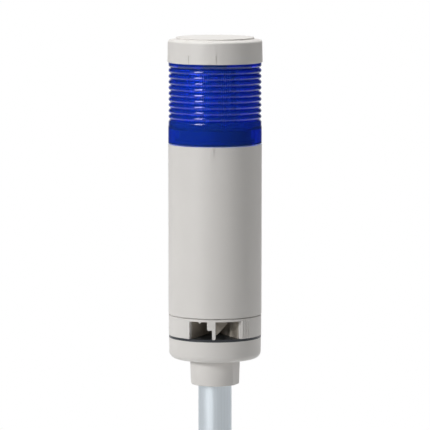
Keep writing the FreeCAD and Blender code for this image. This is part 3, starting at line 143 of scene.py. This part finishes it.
class StackLightSizes(bpy.types.PropertyGroup):
    """Sizes of the pieces that are made here."""

    spigot_length: length("Spigot", "Lens inside the tube", 7.0 * MM)
    spigot_radius: length("Spigot radius", "Outside of the spigot", 23.55 * MM)
    spigot_wall: length("Spigot wall", "Wall of the spigot", 1.6 * MM)
    lens_height: length("Lens height", "Lens between tube and cap", 48.6 * MM)
    foot_round: length("Foot round", "Lower edge of the plain band", 0.6 * MM)
    ledge: length("Ledge", "Step from the spigot's bore to the lens's bore", 1.0 * MM)
    band_proud: length("Band", "Plain band outside the tube", 0.1 * MM)
    band_step: length("Band height", "Height of the plain band", 10.5 * MM)
    band_top: length("First groove", "First groove above the lens's base", 14.6 * MM)
    top_land: length("Last groove", "Last groove below the lens's top", 3.0 * MM)
    bead_inset: length("Bead inset", "Beads inside the tube's outside", 0.15 * MM)
    bead_depth: length("Bead depth", "Groove between two beads", 1.55 * MM)
    bead_land: length("Bead land", "Flat between two beads", 0.2 * MM)
    bead_count: bpy.props.IntProperty(
        name="Beads", description="Whole beads round the lens", default=9, min=1, max=40)
    lens_wall: length("Lens wall", "Lens behind its grooves", 2.1 * MM)
    neck_radius: length("Neck radius", "Outside of the neck in the cap", 24.25 * MM)
    neck_wall: length("Neck wall", "Wall of the neck, and rise of the cone under it", 1.8 * MM)
    lug_reach: length("Lug reach", "Lock lugs outside the spigot and the neck", 1.6 * MM)
    lug_height: length("Lug height", "Lock lugs", 2.0 * MM)
    lug_drop: length("Lug drop", "Lock lugs of the neck below its rim", 1.4 * MM)
    lug_angle: bpy.props.FloatProperty(
        name="Lug angle", description="Width of a lock lug", default=math.radians(28),
        subtype="ANGLE")
    lug_count: bpy.props.IntProperty(
        name="Lugs", description="Lock lugs on the spigot and on the neck", default=3, min=1,
        max=6)
    flute_base: length("Flute base", "Flutes above the lens's base", 9.1 * MM)
    flute_depth: length("Flute depth", "Upright flutes inside the lens", 0.45 * MM)
    flute_count: bpy.props.IntProperty(
        name="Flutes", description="Upright flutes inside the lens", default=120, min=3, max=400)
    chip_width: length("Chip width", "Lamp chip", 3.0 * MM)
    chip_height: length("Chip height", "Lamp chip", 2.8 * MM)
    chip_spread: length("Chip spread", "From one column of chips to the next", 4.6 * MM)
    chip_window: length("Chip window", "Radius of the clear dome of a lamp chip", 1.15 * MM)
    chip_rows: bpy.props.IntProperty(
        name="Chip rows", description="Rows of lamp chips on a board", default=7, min=2, max=20)
    floor_radius: length("Floor", "Radius of the studio floor", 1.6)


class StackLightColours(bpy.types.PropertyGroup):
    """Colours of the finishes."""

    ivory: colour("Ivory plastic", "Cap, tube, ring and foot", (0.735, 0.713, 0.685))
    # The horn plastic is the ivory made darker and browner, as painted shade of the sound
    # chamber's mouth.
    horn_painted_shade: colour("Horn plastic", "Sound chamber", (0.550, 0.500, 0.430))
    inner: colour("Inner plastic", "Lamp holder and contact plate", (0.300, 0.265, 0.220))
    lens: colour("Lens", "Clear blue lens at its surface", (0.035, 0.185, 0.740))
    lens_depth: colour(
        "Lens depth", "What the lens lets through a millimetre of it", (0.26, 0.66, 0.94))
    # The pole's bluish tint is partly its anodised silver and partly painted reflection of bluish
    # surroundings.
    pole: colour("Pole", "Satin aluminium pole", (0.745, 0.805, 0.850))
    # The faint blue in the black rubber is painted reflection, on top of its own black.
    rubber: colour("Rubber", "Seals", (0.020, 0.024, 0.030))
    black: colour("Black plastic", "Sounder, terminals and chips", (0.022, 0.022, 0.024))
    steel: colour("Steel", "Screws, nut and washer", (0.600, 0.600, 0.590))
    brass: colour("Brass", "Contacts and sounder disc", (0.780, 0.560, 0.240))
    board: colour("Board", "Circuit boards", (0.015, 0.150, 0.060))
    copper: colour("Copper", "Winding of the coil", (0.720, 0.260, 0.110))
    phosphor: colour("Phosphor", "Window of a lamp chip", (0.800, 0.640, 0.120))
    chip: colour("Chip", "Body of a lamp chip", (0.780, 0.780, 0.740))


# ------------------------------------------------------------------ finishes

def new_finish(name):
    """Empty node material with its shader: (material, nodes, link function, shader)."""
    material = bpy.data.materials.new(name)
    material.use_nodes = True
    nodes = material.node_tree.nodes
    return material, nodes, material.node_tree.links.new, nodes["Principled BSDF"]


def set_inputs(node, values):
    """Constant values on a node's own sockets."""
    for socket, value in values.items():
        node.inputs[socket].default_value = value


def placed(nodes, link, scale):
    """Object coordinates, stretched by a scale: one number, or one along each axis."""
    where = nodes.new("ShaderNodeTexCoord")
    mapping = nodes.new("ShaderNodeMapping")
    set_inputs(mapping, {"Scale": scale if isinstance(scale, tuple) else (scale, scale, scale)})
    link(where.outputs["Object"], mapping.inputs["Vector"])
    return mapping.outputs["Vector"]


def noise(nodes, link, scale, detail=2.0):
    """Noise on object coordinates."""
    pattern = nodes.new("ShaderNodeTexNoise")
    set_inputs(pattern, {"Scale": 1.0, "Detail": detail})
    link(placed(nodes, link, scale), pattern.inputs["Vector"])
    return pattern.outputs["Fac"]


def ranged(nodes, link, source, low, high):
    """A pattern's middle range spread between two values."""
    spread = nodes.new("ShaderNodeMapRange")
    set_inputs(spread, {"From Min": 0.3, "From Max": 0.7, "To Min": low, "To Max": high})
    link(source, spread.inputs["Value"])
    return spread.outputs["Result"]


def blended(nodes, link, source, first, second):
    """Two colours mixed by a pattern."""
    mix = nodes.new("ShaderNodeMix")
    mix.data_type = "RGBA"
    set_inputs(mix, {"A": (*first, 1), "B": (*second, 1)})
    link(ranged(nodes, link, source, low=0, high=1), mix.inputs["Factor"])
    return mix.outputs["Result"]


def bumped(nodes, link, source, shader, strength, height):
    """Fine relief from a pattern."""
    bump = nodes.new("ShaderNodeBump")
    set_inputs(bump, {"Strength": strength, "Distance": height})
    link(source, bump.inputs["Height"])
    link(bump.outputs["Normal"], shader.inputs["Normal"])


def shade(base, factor):
    """A colour made a little darker or lighter."""
    return tuple(min(channel * factor, 1.0) for channel in base)


def moulded_plastic(name, base, roughness, variation):
    """Injection-moulded plastic: faint mottling and a fine spark-eroded grain."""
    material, nodes, link, shader = new_finish(name)
    mottle = noise(nodes, link, MOTTLE, detail=3.0)
    tone = blended(nodes, link, mottle, shade(base, 1 - variation), shade(base, 1 + variation))
    link(tone, shader.inputs["Base Color"])
    gloss = ranged(nodes, link, noise(nodes, link, SHEEN), roughness - 0.05, roughness + 0.05)
    link(gloss, shader.inputs["Roughness"])
    grain = noise(nodes, link, GRAIN, detail=1.0)
    bumped(nodes, link, grain, shader, strength=0.12, height=GRAIN_RELIEF)
    return material


def satin_metal(name, base, roughness, stretch):
    """Bare metal with fine lines along one way, from drawing, turning or plating."""
    material, nodes, link, shader = new_finish(name)
    set_inputs(shader, {"Metallic": 1.0})
    lines = noise(nodes, link, stretch, detail=3.0)
    tone = blended(nodes, link, lines, shade(base, 0.94), shade(base, 1.05))
    link(tone, shader.inputs["Base Color"])
    gloss = ranged(nodes, link, lines, roughness - 0.06, roughness + 0.06)
    link(gloss, shader.inputs["Roughness"])
    bumped(nodes, link, lines, shader, strength=0.15, height=LINE_RELIEF)
    return material


def seal_rubber(name, base):
    """Matt black rubber with a dusty bloom."""
    material, nodes, link, shader = new_finish(name)
    bloom = noise(nodes, link, BLOOM, detail=4.0)
    link(blended(nodes, link, bloom, base, shade(base, 1.7)), shader.inputs["Base Color"])
    link(ranged(nodes, link, bloom, low=0.30, high=0.46), shader.inputs["Roughness"])
    bumped(nodes, link, noise(nodes, link, POWDER), shader, strength=0.2, height=GRAIN_RELIEF)
    return material


def circuit_board(name, base):
    """Solder mask over copper: square runs of track between darker and lighter fields."""
    material, nodes, link, shader = new_finish(name)
    tracks = nodes.new("ShaderNodeTexBrick")
    set_inputs(tracks, {
        "Scale": 1.0, "Mortar Size": 0.06, "Brick Width": 1.4, "Row Height": 0.5,
        "Color1": (*base, 1), "Color2": (*shade(base, 0.8), 1), "Mortar": (*shade(base, 1.9), 1)})
    link(placed(nodes, link, TRACKS), tracks.inputs["Vector"])
    link(tracks.outputs["Color"], shader.inputs["Base Color"])
    gloss = ranged(nodes, link, noise(nodes, link, WEAVE), low=0.22, high=0.38)
    link(gloss, shader.inputs["Roughness"])
    bumped(nodes, link, tracks.outputs["Fac"], shader, strength=0.25, height=TRACK_RELIEF)
    return material


def wound_copper(name, base):
    """Enamelled wire wound on a core that lies front to back, with painted shade in the grooves
    between turns.
    """
    material, nodes, link, shader = new_finish(name)
    set_inputs(shader, {"Metallic": 0.9})
    turns = nodes.new("ShaderNodeTexWave")
    turns.bands_direction = "Y"
    set_inputs(turns, {"Scale": 1.0, "Distortion": 0.4})
    link(placed(nodes, link, TURNS), turns.inputs["Vector"])
    wave = turns.outputs["Fac"]
    # Painted shade: where the turns' relief is low, the copper is darkened to about half.
    link(blended(nodes, link, wave, shade(base, 0.55), base), shader.inputs["Base Color"])
    link(ranged(nodes, link, wave, low=0.25, high=0.4), shader.inputs["Roughness"])
    bumped(nodes, link, wave, shader, strength=0.6, height=TURN_RELIEF)
    return material


def clear_blue(name, base, depth):
    """Clear plastic, tinted through its depth, that lets lamp light in to what is inside."""
    material, nodes, link, shader = new_finish(name)
    output = nodes["Material Output"]
    set_inputs(shader, {"Base Color": (*base, 1), "IOR": 1.5, "Transmission Weight": 0.85})
    flow = noise(nodes, link, FLOW, detail=3.0)
    link(ranged(nodes, link, flow, low=0.03, high=0.05), shader.inputs["Roughness"])
    tint = nodes.new("ShaderNodeVolumeAbsorption")
    set_inputs(tint, {"Color": (*depth, 1), "Density": PER_MM})
    link(tint.outputs["Volume"], output.inputs["Volume"])
    rays = nodes.new("ShaderNodeLightPath")
    through = nodes.new("ShaderNodeBsdfTransparent")
    set_inputs(through, {"Color": (0.9, 0.95, 1.0, 1)})
    mix = nodes.new("ShaderNodeMixShader")
    link(rays.outputs["Is Shadow Ray"], mix.inputs["Fac"])
    link(shader.outputs["BSDF"], mix.inputs[1])
    link(through.outputs["BSDF"], mix.inputs[2])
    link(mix.outputs["Shader"], output.inputs["Surface"])
    return material


def finish(name, *cad_nodes):
    """Give a finish to CAD nodes that keep their own shape."""
    material = bpy.data.materials[name]
    for node in cad_nodes:
        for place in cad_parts[node].material_slots:
            place.material = material


# ------------------------------------------------------------------ shaping helpers

def line_to(shape, last, radius, height):
    """Straight edge of a half section, to a radius and a height."""
    end = shape.verts.new((radius, 0, height))
    shape.edges.new((last, end))
    return end


def wall_to(shape, last, radius, height):
    """Long upright edge with points near its ends, which keep the shading of its corners there."""
    end = line_to(shape, last, radius, last.co.z + EDGE)
    end = line_to(shape, end, radius, height - EDGE)
    return line_to(shape, end, radius, height)


def arc_to(shape, last, centre, angle, steps):
    """Rounded edge of a half section: the last point swung about a centre, low side first."""
    swung = bmesh.ops.spin(
        shape, geom=[last], cent=(centre[0], 0, centre[1]), axis=(0, -1, 0),
        angle=angle, steps=steps)
    return next(item for item in swung["geom_last"] if isinstance(item, bmesh.types.BMVert))


def full_turn(shape, steps):
    """Turn a half section once round the axis into a closed solid."""
    bmesh.ops.spin(
        shape, geom=shape.verts[:] + shape.edges[:], cent=(0, 0, 0), axis=AXIS,
        angle=2 * math.pi, steps=steps, use_merge=True)
    bmesh.ops.remove_doubles(shape, verts=shape.verts[:], dist=MERGE_GAP)
    bmesh.ops.recalc_face_normals(shape, faces=shape.faces[:])


def lock_lug(shape, turn, width, inner, outer, low, high):
    """Lug of a twist lock: a block bent round the axis, sunk a little into the wall behind it."""
    section = ((inner - EDGE, low), (outer, low), (outer, high), (inner - EDGE, high))
    rings = []
    for step in range(LUG_STEPS + 1):
        angle = turn + width * (step / LUG_STEPS - 0.5)
        rings.append([
            shape.verts.new((radius * math.cos(angle), radius * math.sin(angle), height))
            for radius, height in section])
    faces = [shape.faces.new(rings[0]), shape.faces.new(rings[-1][::-1])]
    for near, far in zip(rings, rings[1:]):
        for side in range(len(section)):
            after = (side + 1) % len(section)
            faces.append(shape.faces.new((near[side], far[side], far[after], near[after])))
    bmesh.ops.recalc_face_normals(shape, faces=faces)


def to_object(shape, name, materials, body, soft_angle=35.0):
    """New piece from a finished shape, smooth except at its edges."""
    mesh = bpy.data.meshes.new(name)
    shape.to_mesh(mesh)
    shape.free()
    for polygon in mesh.polygons:
        polygon.use_smooth = True
    mesh.set_sharp_from_angle(angle=math.radians(soft_angle))
    for material in materials:
        mesh.materials.append(bpy.data.materials[material])
    piece = bpy.data.objects.new(name, mesh)
    bpy.context.scene.collection.objects.link(piece)
    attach(piece, body)
    return piece


# ------------------------------------------------------------------ pieces

class STACKLIGHT_OT_finishes(bpy.types.Operator):
    """Make the finishes that the pieces share"""

    bl_idname = "stacklight.finishes"
    bl_label = "Finishes"

    def execute(self, context):
        tint = context.scene.stack_light_colours
        moulded_plastic("Ivory plastic", tuple(tint.ivory), roughness=0.46, variation=0.012)
        moulded_plastic("Inner plastic", tuple(tint.inner), roughness=0.5, variation=0.05)
        # Painted shade: the sound chamber gets a darker, browner plastic than the ivory.
        moulded_plastic("Horn plastic", tuple(tint.horn_painted_shade), roughness=0.45, variation=0.03)
        moulded_plastic("Black plastic", tuple(tint.black), roughness=0.42, variation=0.1)
        moulded_plastic("Chip body", tuple(tint.chip), roughness=0.35, variation=0.03)
        moulded_plastic("Phosphor", tuple(tint.phosphor), roughness=0.25, variation=0.06)
        # The pole's base colour carries some painted reflection of bluish surroundings in its
        # blue.
        satin_metal("Satin aluminium", tuple(tint.pole), roughness=0.49, stretch=DRAWN_LINES)
        satin_metal("Plated steel", tuple(tint.steel), roughness=0.32, stretch=PLATED_SPECKS)
        satin_metal("Bright brass", tuple(tint.brass), roughness=0.24, stretch=STAMPED_LINES)
        seal_rubber("Seal rubber", tuple(tint.rubber))
        circuit_board("Circuit board", tuple(tint.board))
        wound_copper("Wound copper", tuple(tint.copper))
        clear_blue("Clear blue", tuple(tint.lens), tuple(tint.lens_depth))
        return {"FINISHED"}


class STACKLIGHT_OT_housing(bpy.types.Operator):
    """Finish the cap, tube, volume ring and foot"""

    bl_idname = "stacklight.housing"
    bl_label = "Housing"

    def execute(self, context):
        finish("Ivory plastic", "head_cap", "body_tube", "volume_ring", "base_cup")
        return {"FINISHED"}


class STACKLIGHT_OT_pole(bpy.types.Operator):
    """Finish the pole, its nut and washer and the long screws"""

    bl_idname = "stacklight.pole"
    bl_label = "Pole and fixings"

    def execute(self, context):
        finish("Satin aluminium", "pole")
        finish("Plated steel", "pole_nut", "pole_washer", "base_screws", "terminal_screws")
        return {"FINISHED"}


class STACKLIGHT_OT_seals(bpy.types.Operator):
    """Finish the black seals"""

    bl_idname = "stacklight.seals"
    bl_label = "Seals"

    def execute(self, context):
        finish("Seal rubber", "base_gasket", "lens_gasket", "cap_gasket")
        return {"FINISHED"}


class STACKLIGHT_OT_sounder(bpy.types.Operator):
    """Finish the sound chamber and the sounder in it"""

    bl_idname = "stacklight.sounder"
    bl_label = "Sounder"

    def execute(self, context):
        # The chamber's darker, browner plastic is painted shade of its mouth.
        finish("Horn plastic", "sound_chamber")
        finish("Black plastic", "sounder_case", "sounder_cover")
        finish("Bright brass", "sounder_disc")
        finish("Plated steel", "sounder_leads")
        return {"FINISHED"}


class STACKLIGHT_OT_driver(bpy.types.Operator):
    """Finish the driver board and what stands on it"""

    bl_idname = "stacklight.driver"
    bl_label = "Driver board"

    def execute(self, context):
        finish("Circuit board", "driver_board")
        finish("Black plastic", "terminal_block", "filter_capacitors", "flasher_chip")
        finish("Wound copper", "power_coil")
        finish("Bright brass", "board_pins", "contact_springs", "contact_rings")
        finish("Inner plastic", "contact_plate")
        return {"FINISHED"}


def lamp_chip(shape, width, thick, tall, window):
    """One lamp chip with its back on the XZ plane: a soft-edged body and a low clear dome."""
    depth = thick * CHIP_BODY_SHARE
    body = bmesh.ops.create_cube(shape, size=1, matrix=(
        Matrix.Translation((0, -depth / 2, 0)) @ Matrix.Diagonal((width, depth, tall, 1))))
    edges = {edge for vert in body["verts"] for edge in vert.link_edges}
    bmesh.ops.bevel(
        shape, geom=list(edges), offset=width * CHIP_BEVEL, affect="EDGES",
        segments=CHIP_BEVEL_STEPS, profile=0.5, material=-1)
    swelling = Matrix.Diagonal((window, thick - depth, window, 1))
    dome = bmesh.ops.create_uvsphere(
        shape, u_segments=DOME_SEGMENTS, v_segments=DOME_RINGS, radius=1,
        matrix=Matrix.Translation((0, -depth, 0)) @ swelling)
    for face in {face for vert in dome["verts"] for face in vert.link_faces}:
        face.material_index = 1


def verts_of(geometry):
    """Vertices in a list of vertices, edges and faces."""
    return [item for item in geometry if isinstance(item, bmesh.types.BMVert)]


def copied(shape, geometry, matrix):
    """Copy of some geometry, moved by a matrix."""
    made = bmesh.ops.duplicate(shape, geom=geometry)["geom"]
    bmesh.ops.transform(shape, matrix=matrix, verts=verts_of(made))


class STACKLIGHT_OT_lamp(bpy.types.Operator):
    """Finish the lamp holder and boards, and make the lamp chips"""

    bl_idname = "stacklight.lamp"
    bl_label = "Lamp"

    def execute(self, context):
        sizes = context.scene.stack_light_sizes
        finish("Inner plastic", "led_holder")
        finish("Circuit board", "led_base_board", "led_top_board", "led_board_front",
               "led_board_right", "led_board_back", "led_board_left")
        face = -BOARD_LOW.y
        tall = sizes.chip_height
        pitch = (CHIPS_HIGH.z - CHIPS_LOW.z - tall) / (sizes.chip_rows - 1)
        shape = bmesh.new()
        lamp_chip(shape, sizes.chip_width, CHIPS_HIGH.x - face, tall, sizes.chip_window)
        one = shape.verts[:] + shape.edges[:] + shape.faces[:]
        for row in range(sizes.chip_rows):
            for side in (-1, 1):
                height = CHIPS_LOW.z + tall / 2 + row * pitch
                place = (side * sizes.chip_spread / 2, -face, height)
                copied(shape, one, Matrix.Translation(place))
        bmesh.ops.delete(shape, geom=verts_of(one))
        front = shape.verts[:] + shape.edges[:] + shape.faces[:]
        for turn in (1, 2, 3):
            copied(shape, front, Matrix.Rotation(turn * QUARTER, 4, "Z"))
        piece = to_object(
            shape, "lamp_chips", ["Chip body", "Phosphor"], "lens_module")
        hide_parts("leds")
        return {"FINISHED"}


def lens_radii(sizes):
    """Radii of the lens's beads, of its grooves and of its bore, inwards from the plain band."""
    bead = LENS_HIGH.x - sizes.band_proud - sizes.bead_inset
    groove = bead - sizes.bead_depth
    return bead, groove, groove - sizes.lens_wall


def lens_heights(sizes):
    """Heights of the lens's base and top outside, and of its flutes' lower and upper ends."""
    base = LENS_LOW.z + sizes.spigot_length
    top = base + sizes.lens_height
    shoulder = top - sizes.neck_wall
    return base, top, base + sizes.flute_base, shoulder - sizes.neck_wall


def bead_row(shape, end, sizes, first, last):
    """Outside of the beads from the first groove to the last: a land, then an arc, in turn."""
    bead, groove, _ = lens_radii(sizes)
    pitch = (last - first) / sizes.bead_count
    chord = pitch - sizes.bead_land
    radius = chord ** 2 / (8 * sizes.bead_depth) + sizes.bead_depth / 2
    swing = 2 * math.asin(min(chord / 2 / radius, 1.0))
    end = arc_to(shape, end, (groove, first - sizes.bead_depth), QUARTER, GROOVE_STEPS)
    for place in range(sizes.bead_count):
        low = first + sizes.bead_land / 2 + place * pitch
        end = line_to(shape, end, groove, low)
        end = arc_to(shape, end, (bead - radius, low + chord / 2), swing, BEAD_STEPS)
    end = line_to(shape, end, groove, last)
    return arc_to(shape, end, (groove, last + sizes.bead_depth), QUARTER, GROOVE_STEPS)


def lens_section(shape, sizes):
    """Half section of the lens: up its outside from the spigot's foot, then down its bore."""
    band, corner = LENS_HIGH.x, sizes.foot_round
    bead, _, bore = lens_radii(sizes)
    base, top, flutes, flute_top = lens_heights(sizes)
    spigot, neck = sizes.spigot_radius, sizes.neck_radius
    spigot_bore, neck_bore = spigot - sizes.spigot_wall, neck - sizes.neck_wall
    slope = base + sizes.band_step
    first, last = base + sizes.band_top, top - sizes.top_land

    start = shape.verts.new((spigot_bore, 0, LENS_LOW.z))
    end = line_to(shape, start, spigot, LENS_LOW.z)
    end = line_to(shape, end, spigot, base)
    end = line_to(shape, end, band - corner, base)
    end = arc_to(shape, end, (band - corner, base + corner), QUARTER, CORNER_STEPS)
    end = wall_to(shape, end, band, slope)
    end = line_to(shape, end, bead, slope + band - bead)
    end = wall_to(shape, end, bead, first - sizes.bead_depth)
    end = bead_row(shape, end, sizes, first, last)
    for point in (
            (bead, top), (neck, top), (neck, LENS_HIGH.z), (neck_bore, LENS_HIGH.z),
            (neck_bore, top - sizes.neck_wall), (bore, flute_top), (bore, flute_top - EDGE),
            (bore, flutes + EDGE), (bore, flutes - EDGE), (bore, base + sizes.ledge),
            (spigot_bore, base + sizes.ledge)):
        end = line_to(shape, end, *point)
    shape.edges.new((end, start))


def press_flutes(shape, sizes):
    """Upright flutes: the bore's points between the flutes' two ends, moved outwards in turn."""
    bore = lens_radii(sizes)[2]
    _, _, low, high = lens_heights(sizes)
    for vert in shape.verts:
        reach = vert.co.xy.length
        if low < vert.co.z < high - EDGE / 2 and abs(reach - bore) < EDGE / 10:
            turn = math.atan2(vert.co.y, vert.co.x) / (2 * math.pi)
            step = round(turn * len(FLUTE) * sizes.flute_count) % len(FLUTE)
            vert.co.xy *= 1 + FLUTE[step] * sizes.flute_depth / reach


def add_lock_lugs(shape, sizes):
    """Lock lugs at the foot of the spigot and below the rim of the neck, the first at the back."""
    neck_low = LENS_HIGH.z - sizes.lug_drop - sizes.lug_height
    for place in range(sizes.lug_count):
        turn = QUARTER + place * 2 * math.pi / sizes.lug_count
        for wall, low in ((sizes.spigot_radius, LENS_LOW.z), (sizes.neck_radius, neck_low)):
            lock_lug(
                shape, turn, sizes.lug_angle, wall, wall + sizes.lug_reach, low,
                low + sizes.lug_height)


class STACKLIGHT_OT_lens(bpy.types.Operator):
    """Make the blue lens with its beads, flutes and twist-lock lugs"""

    bl_idname = "stacklight.lens"
    bl_label = "Lens"

    def execute(self, context):
        sizes = context.scene.stack_light_sizes
        shape = bmesh.new()
        lens_section(shape, sizes)
        full_turn(shape, len(FLUTE) * sizes.flute_count)
        press_flutes(shape, sizes)
        add_lock_lugs(shape, sizes)
        piece = to_object(
            shape, "lens_fine", ["Clear blue"], "lens_module", LENS_SOFT_ANGLE)
        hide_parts("lens")
        return {"FINISHED"}


# ------------------------------------------------------------------ studio

def lamp_panel(name, azimuth, elevation, distance, size, power, lighting, mirrored):
    """Soft panel that faces the object, to light it, to be mirrored in it, or both."""
    data = bpy.data.lights.new(name, "AREA")
    data.shape = "RECTANGLE"
    data.size, data.size_y = size
    data.energy = power
    lamp = bpy.data.objects.new(name, data)
    turn, rise = math.radians(azimuth), math.radians(elevation)
    level = math.cos(rise)
    place = Vector((math.sin(turn) * level, -math.cos(turn) * level, math.sin(rise)))
    lamp.location = AIM + place * distance
    lamp.rotation_euler = place.to_track_quat("Z", "Y").to_euler()
    lamp.visible_diffuse = lighting
    lamp.visible_glossy = mirrored
    bpy.context.scene.collection.objects.link(lamp)


def floor_finish():
    """Pale floor that keeps the shadow near the object and fades to white away from it."""
    material, nodes, link, shader = new_finish("Studio floor")
    set_inputs(shader, {
        "Base Color": (FLOOR_TONE, FLOOR_TONE, FLOOR_TONE, 1), "Roughness": 0.9,
        "Specular IOR Level": 0.1})
    reach = nodes.new("ShaderNodeVectorMath")
    reach.operation = "LENGTH"
    link(placed(nodes, link, 1.0), reach.inputs[0])
    fade = nodes.new("ShaderNodeMapRange")
    fade.interpolation_type = "SMOOTHSTEP"
    set_inputs(fade, {"From Min": FLOOR_FADE[0], "From Max": FLOOR_FADE[1]})
    link(reach.outputs["Value"], fade.inputs["Value"])
    rays = nodes.new("ShaderNodeLightPath")
    seen = rays.outputs["Is Camera Ray"]
    for kind in ("Is Transmission Ray", "Is Glossy Ray"):
        either = nodes.new("ShaderNodeMath")
        either.operation = "MAXIMUM"
        link(seen, either.inputs[0])
        link(rays.outputs[kind], either.inputs[1])
        seen = either.outputs["Value"]
    amount = nodes.new("ShaderNodeMath")
    amount.operation = "MULTIPLY"
    link(seen, amount.inputs[0])
    link(fade.outputs["Result"], amount.inputs[1])
    white = nodes.new("ShaderNodeEmission")
    mix = nodes.new("ShaderNodeMixShader")
    link(amount.outputs["Value"], mix.inputs["Fac"])
    link(shader.outputs["BSDF"], mix.inputs[1])
    link(white.outputs["Emission"], mix.inputs[2])
    link(mix.outputs["Shader"], nodes["Material Output"].inputs["Surface"])
    return material


def studio_world():
    """White to the eye and through clear plastic, a soft grey fill for the light on the object.

    Gloss sees white behind the object only, and a dim studio elsewhere.
    """
    world = bpy.data.worlds.new("Studio")
    world.use_nodes = True
    nodes, link = world.node_tree.nodes, world.node_tree.links.new
    where = nodes.new("ShaderNodeTexCoord")
    split = nodes.new("ShaderNodeSeparateXYZ")
    link(where.outputs["Generated"], split.inputs["Vector"])
    behind = nodes.new("ShaderNodeMapRange")
    behind.interpolation_type = "SMOOTHSTEP"
    set_inputs(behind, {
        "From Min": WORLD_BEHIND[0], "From Max": WORLD_BEHIND[1], "To Min": WORLD_DIM,
        "To Max": 1.0})
    link(split.outputs["Y"], behind.inputs["Value"])
    rays = nodes.new("ShaderNodeLightPath")
    strength = nodes.new("ShaderNodeMix")
    set_inputs(strength, {"A": WORLD_FILL})
    link(behind.outputs["Result"], strength.inputs["B"])
    link(rays.outputs["Is Glossy Ray"], strength.inputs["Factor"])
    seen = nodes.new("ShaderNodeMath")
    seen.operation = "MAXIMUM"
    link(rays.outputs["Is Camera Ray"], seen.inputs[0])
    link(rays.outputs["Is Transmission Ray"], seen.inputs[1])
    final = nodes.new("ShaderNodeMix")
    set_inputs(final, {"B": 1.0})
    link(seen.outputs["Value"], final.inputs["Factor"])
    link(strength.outputs["Result"], final.inputs["A"])
    link(final.outputs["Result"], nodes["Background"].inputs["Strength"])
    set_inputs(nodes["Background"], {"Color": (1, 1, 1, 1)})
    bpy.context.scene.world = world


def studio_floor(radius):
    """Round floor under the object."""
    shape = bmesh.new()
    bmesh.ops.create_circle(shape, cap_ends=True, segments=FLOOR_SIDES, radius=radius)
    mesh = bpy.data.meshes.new("floor")
    shape.to_mesh(mesh)
    shape.free()
    mesh.materials.append(floor_finish())
    floor = bpy.data.objects.new("floor", mesh)
    bpy.context.scene.collection.objects.link(floor)


def studio_camera():
    """Camera with a long lens that looks a little down on the object from the front."""
    data = bpy.data.cameras.new("camera")
    data.sensor_width = SENSOR_WIDTH_MM
    data.lens = FOCAL_LENGTH_MM
    data.clip_start, data.clip_end = CAMERA_CLIP
    camera = bpy.data.objects.new("camera", data)
    away = Vector((0, -math.cos(CAMERA_PITCH), math.sin(CAMERA_PITCH)))
    camera.location = CAMERA_TARGET + away * CAMERA_DISTANCE
    camera.rotation_euler = away.to_track_quat("Z", "Y").to_euler()
    bpy.context.scene.collection.objects.link(camera)
    bpy.context.scene.camera = camera


class STACKLIGHT_OT_stage(bpy.types.Operator):
    """Set up the floor, the soft lamps and the camera"""

    bl_idname = "stacklight.stage"
    bl_label = "Stage"

    def execute(self, context):
        studio_floor(context.scene.stack_light_sizes.floor_radius)
        studio_world()
        for lamp in LAMPS:
            lamp_panel(*lamp)
        studio_camera()
        context.scene.view_settings.view_transform = "Standard"
        return {"FINISHED"}


# ------------------------------------------------------------------ add-on

OPERATORS = (
    STACKLIGHT_OT_finishes, STACKLIGHT_OT_housing, STACKLIGHT_OT_pole, STACKLIGHT_OT_seals,
    STACKLIGHT_OT_sounder, STACKLIGHT_OT_driver, STACKLIGHT_OT_lamp, STACKLIGHT_OT_lens,
    STACKLIGHT_OT_stage)


class STACKLIGHT_PT_panel(bpy.types.Panel):
    """Sidebar panel that lists the pieces"""

    bl_label = "Stack Light"
    bl_idname = "STACKLIGHT_PT_panel"
    bl_space_type = "VIEW_3D"
    bl_region_type = "UI"
    bl_category = "Stack Light"

    def draw(self, context):
        for operator in OPERATORS:
            self.layout.operator(operator.bl_idname)


CLASSES = (StackLightSizes, StackLightColours, *OPERATORS, STACKLIGHT_PT_panel)


def register():
    for item in CLASSES:
        bpy.utils.register_class(item)
    bpy.types.Scene.stack_light_sizes = bpy.props.PointerProperty(type=StackLightSizes)
    bpy.types.Scene.stack_light_colours = bpy.props.PointerProperty(type=StackLightColours)


def unregister():
    del bpy.types.Scene.stack_light_colours
    del bpy.types.Scene.stack_light_sizes
    for item in reversed(CLASSES):
        bpy.utils.unregister_class(item)


def main():
    """Run every operator in order."""
    register()
    for operator in OPERATORS:
        group, name = operator.bl_idname.split(".")
        getattr(getattr(bpy.ops, group), name)()


if __name__ == "__main__":
    main()
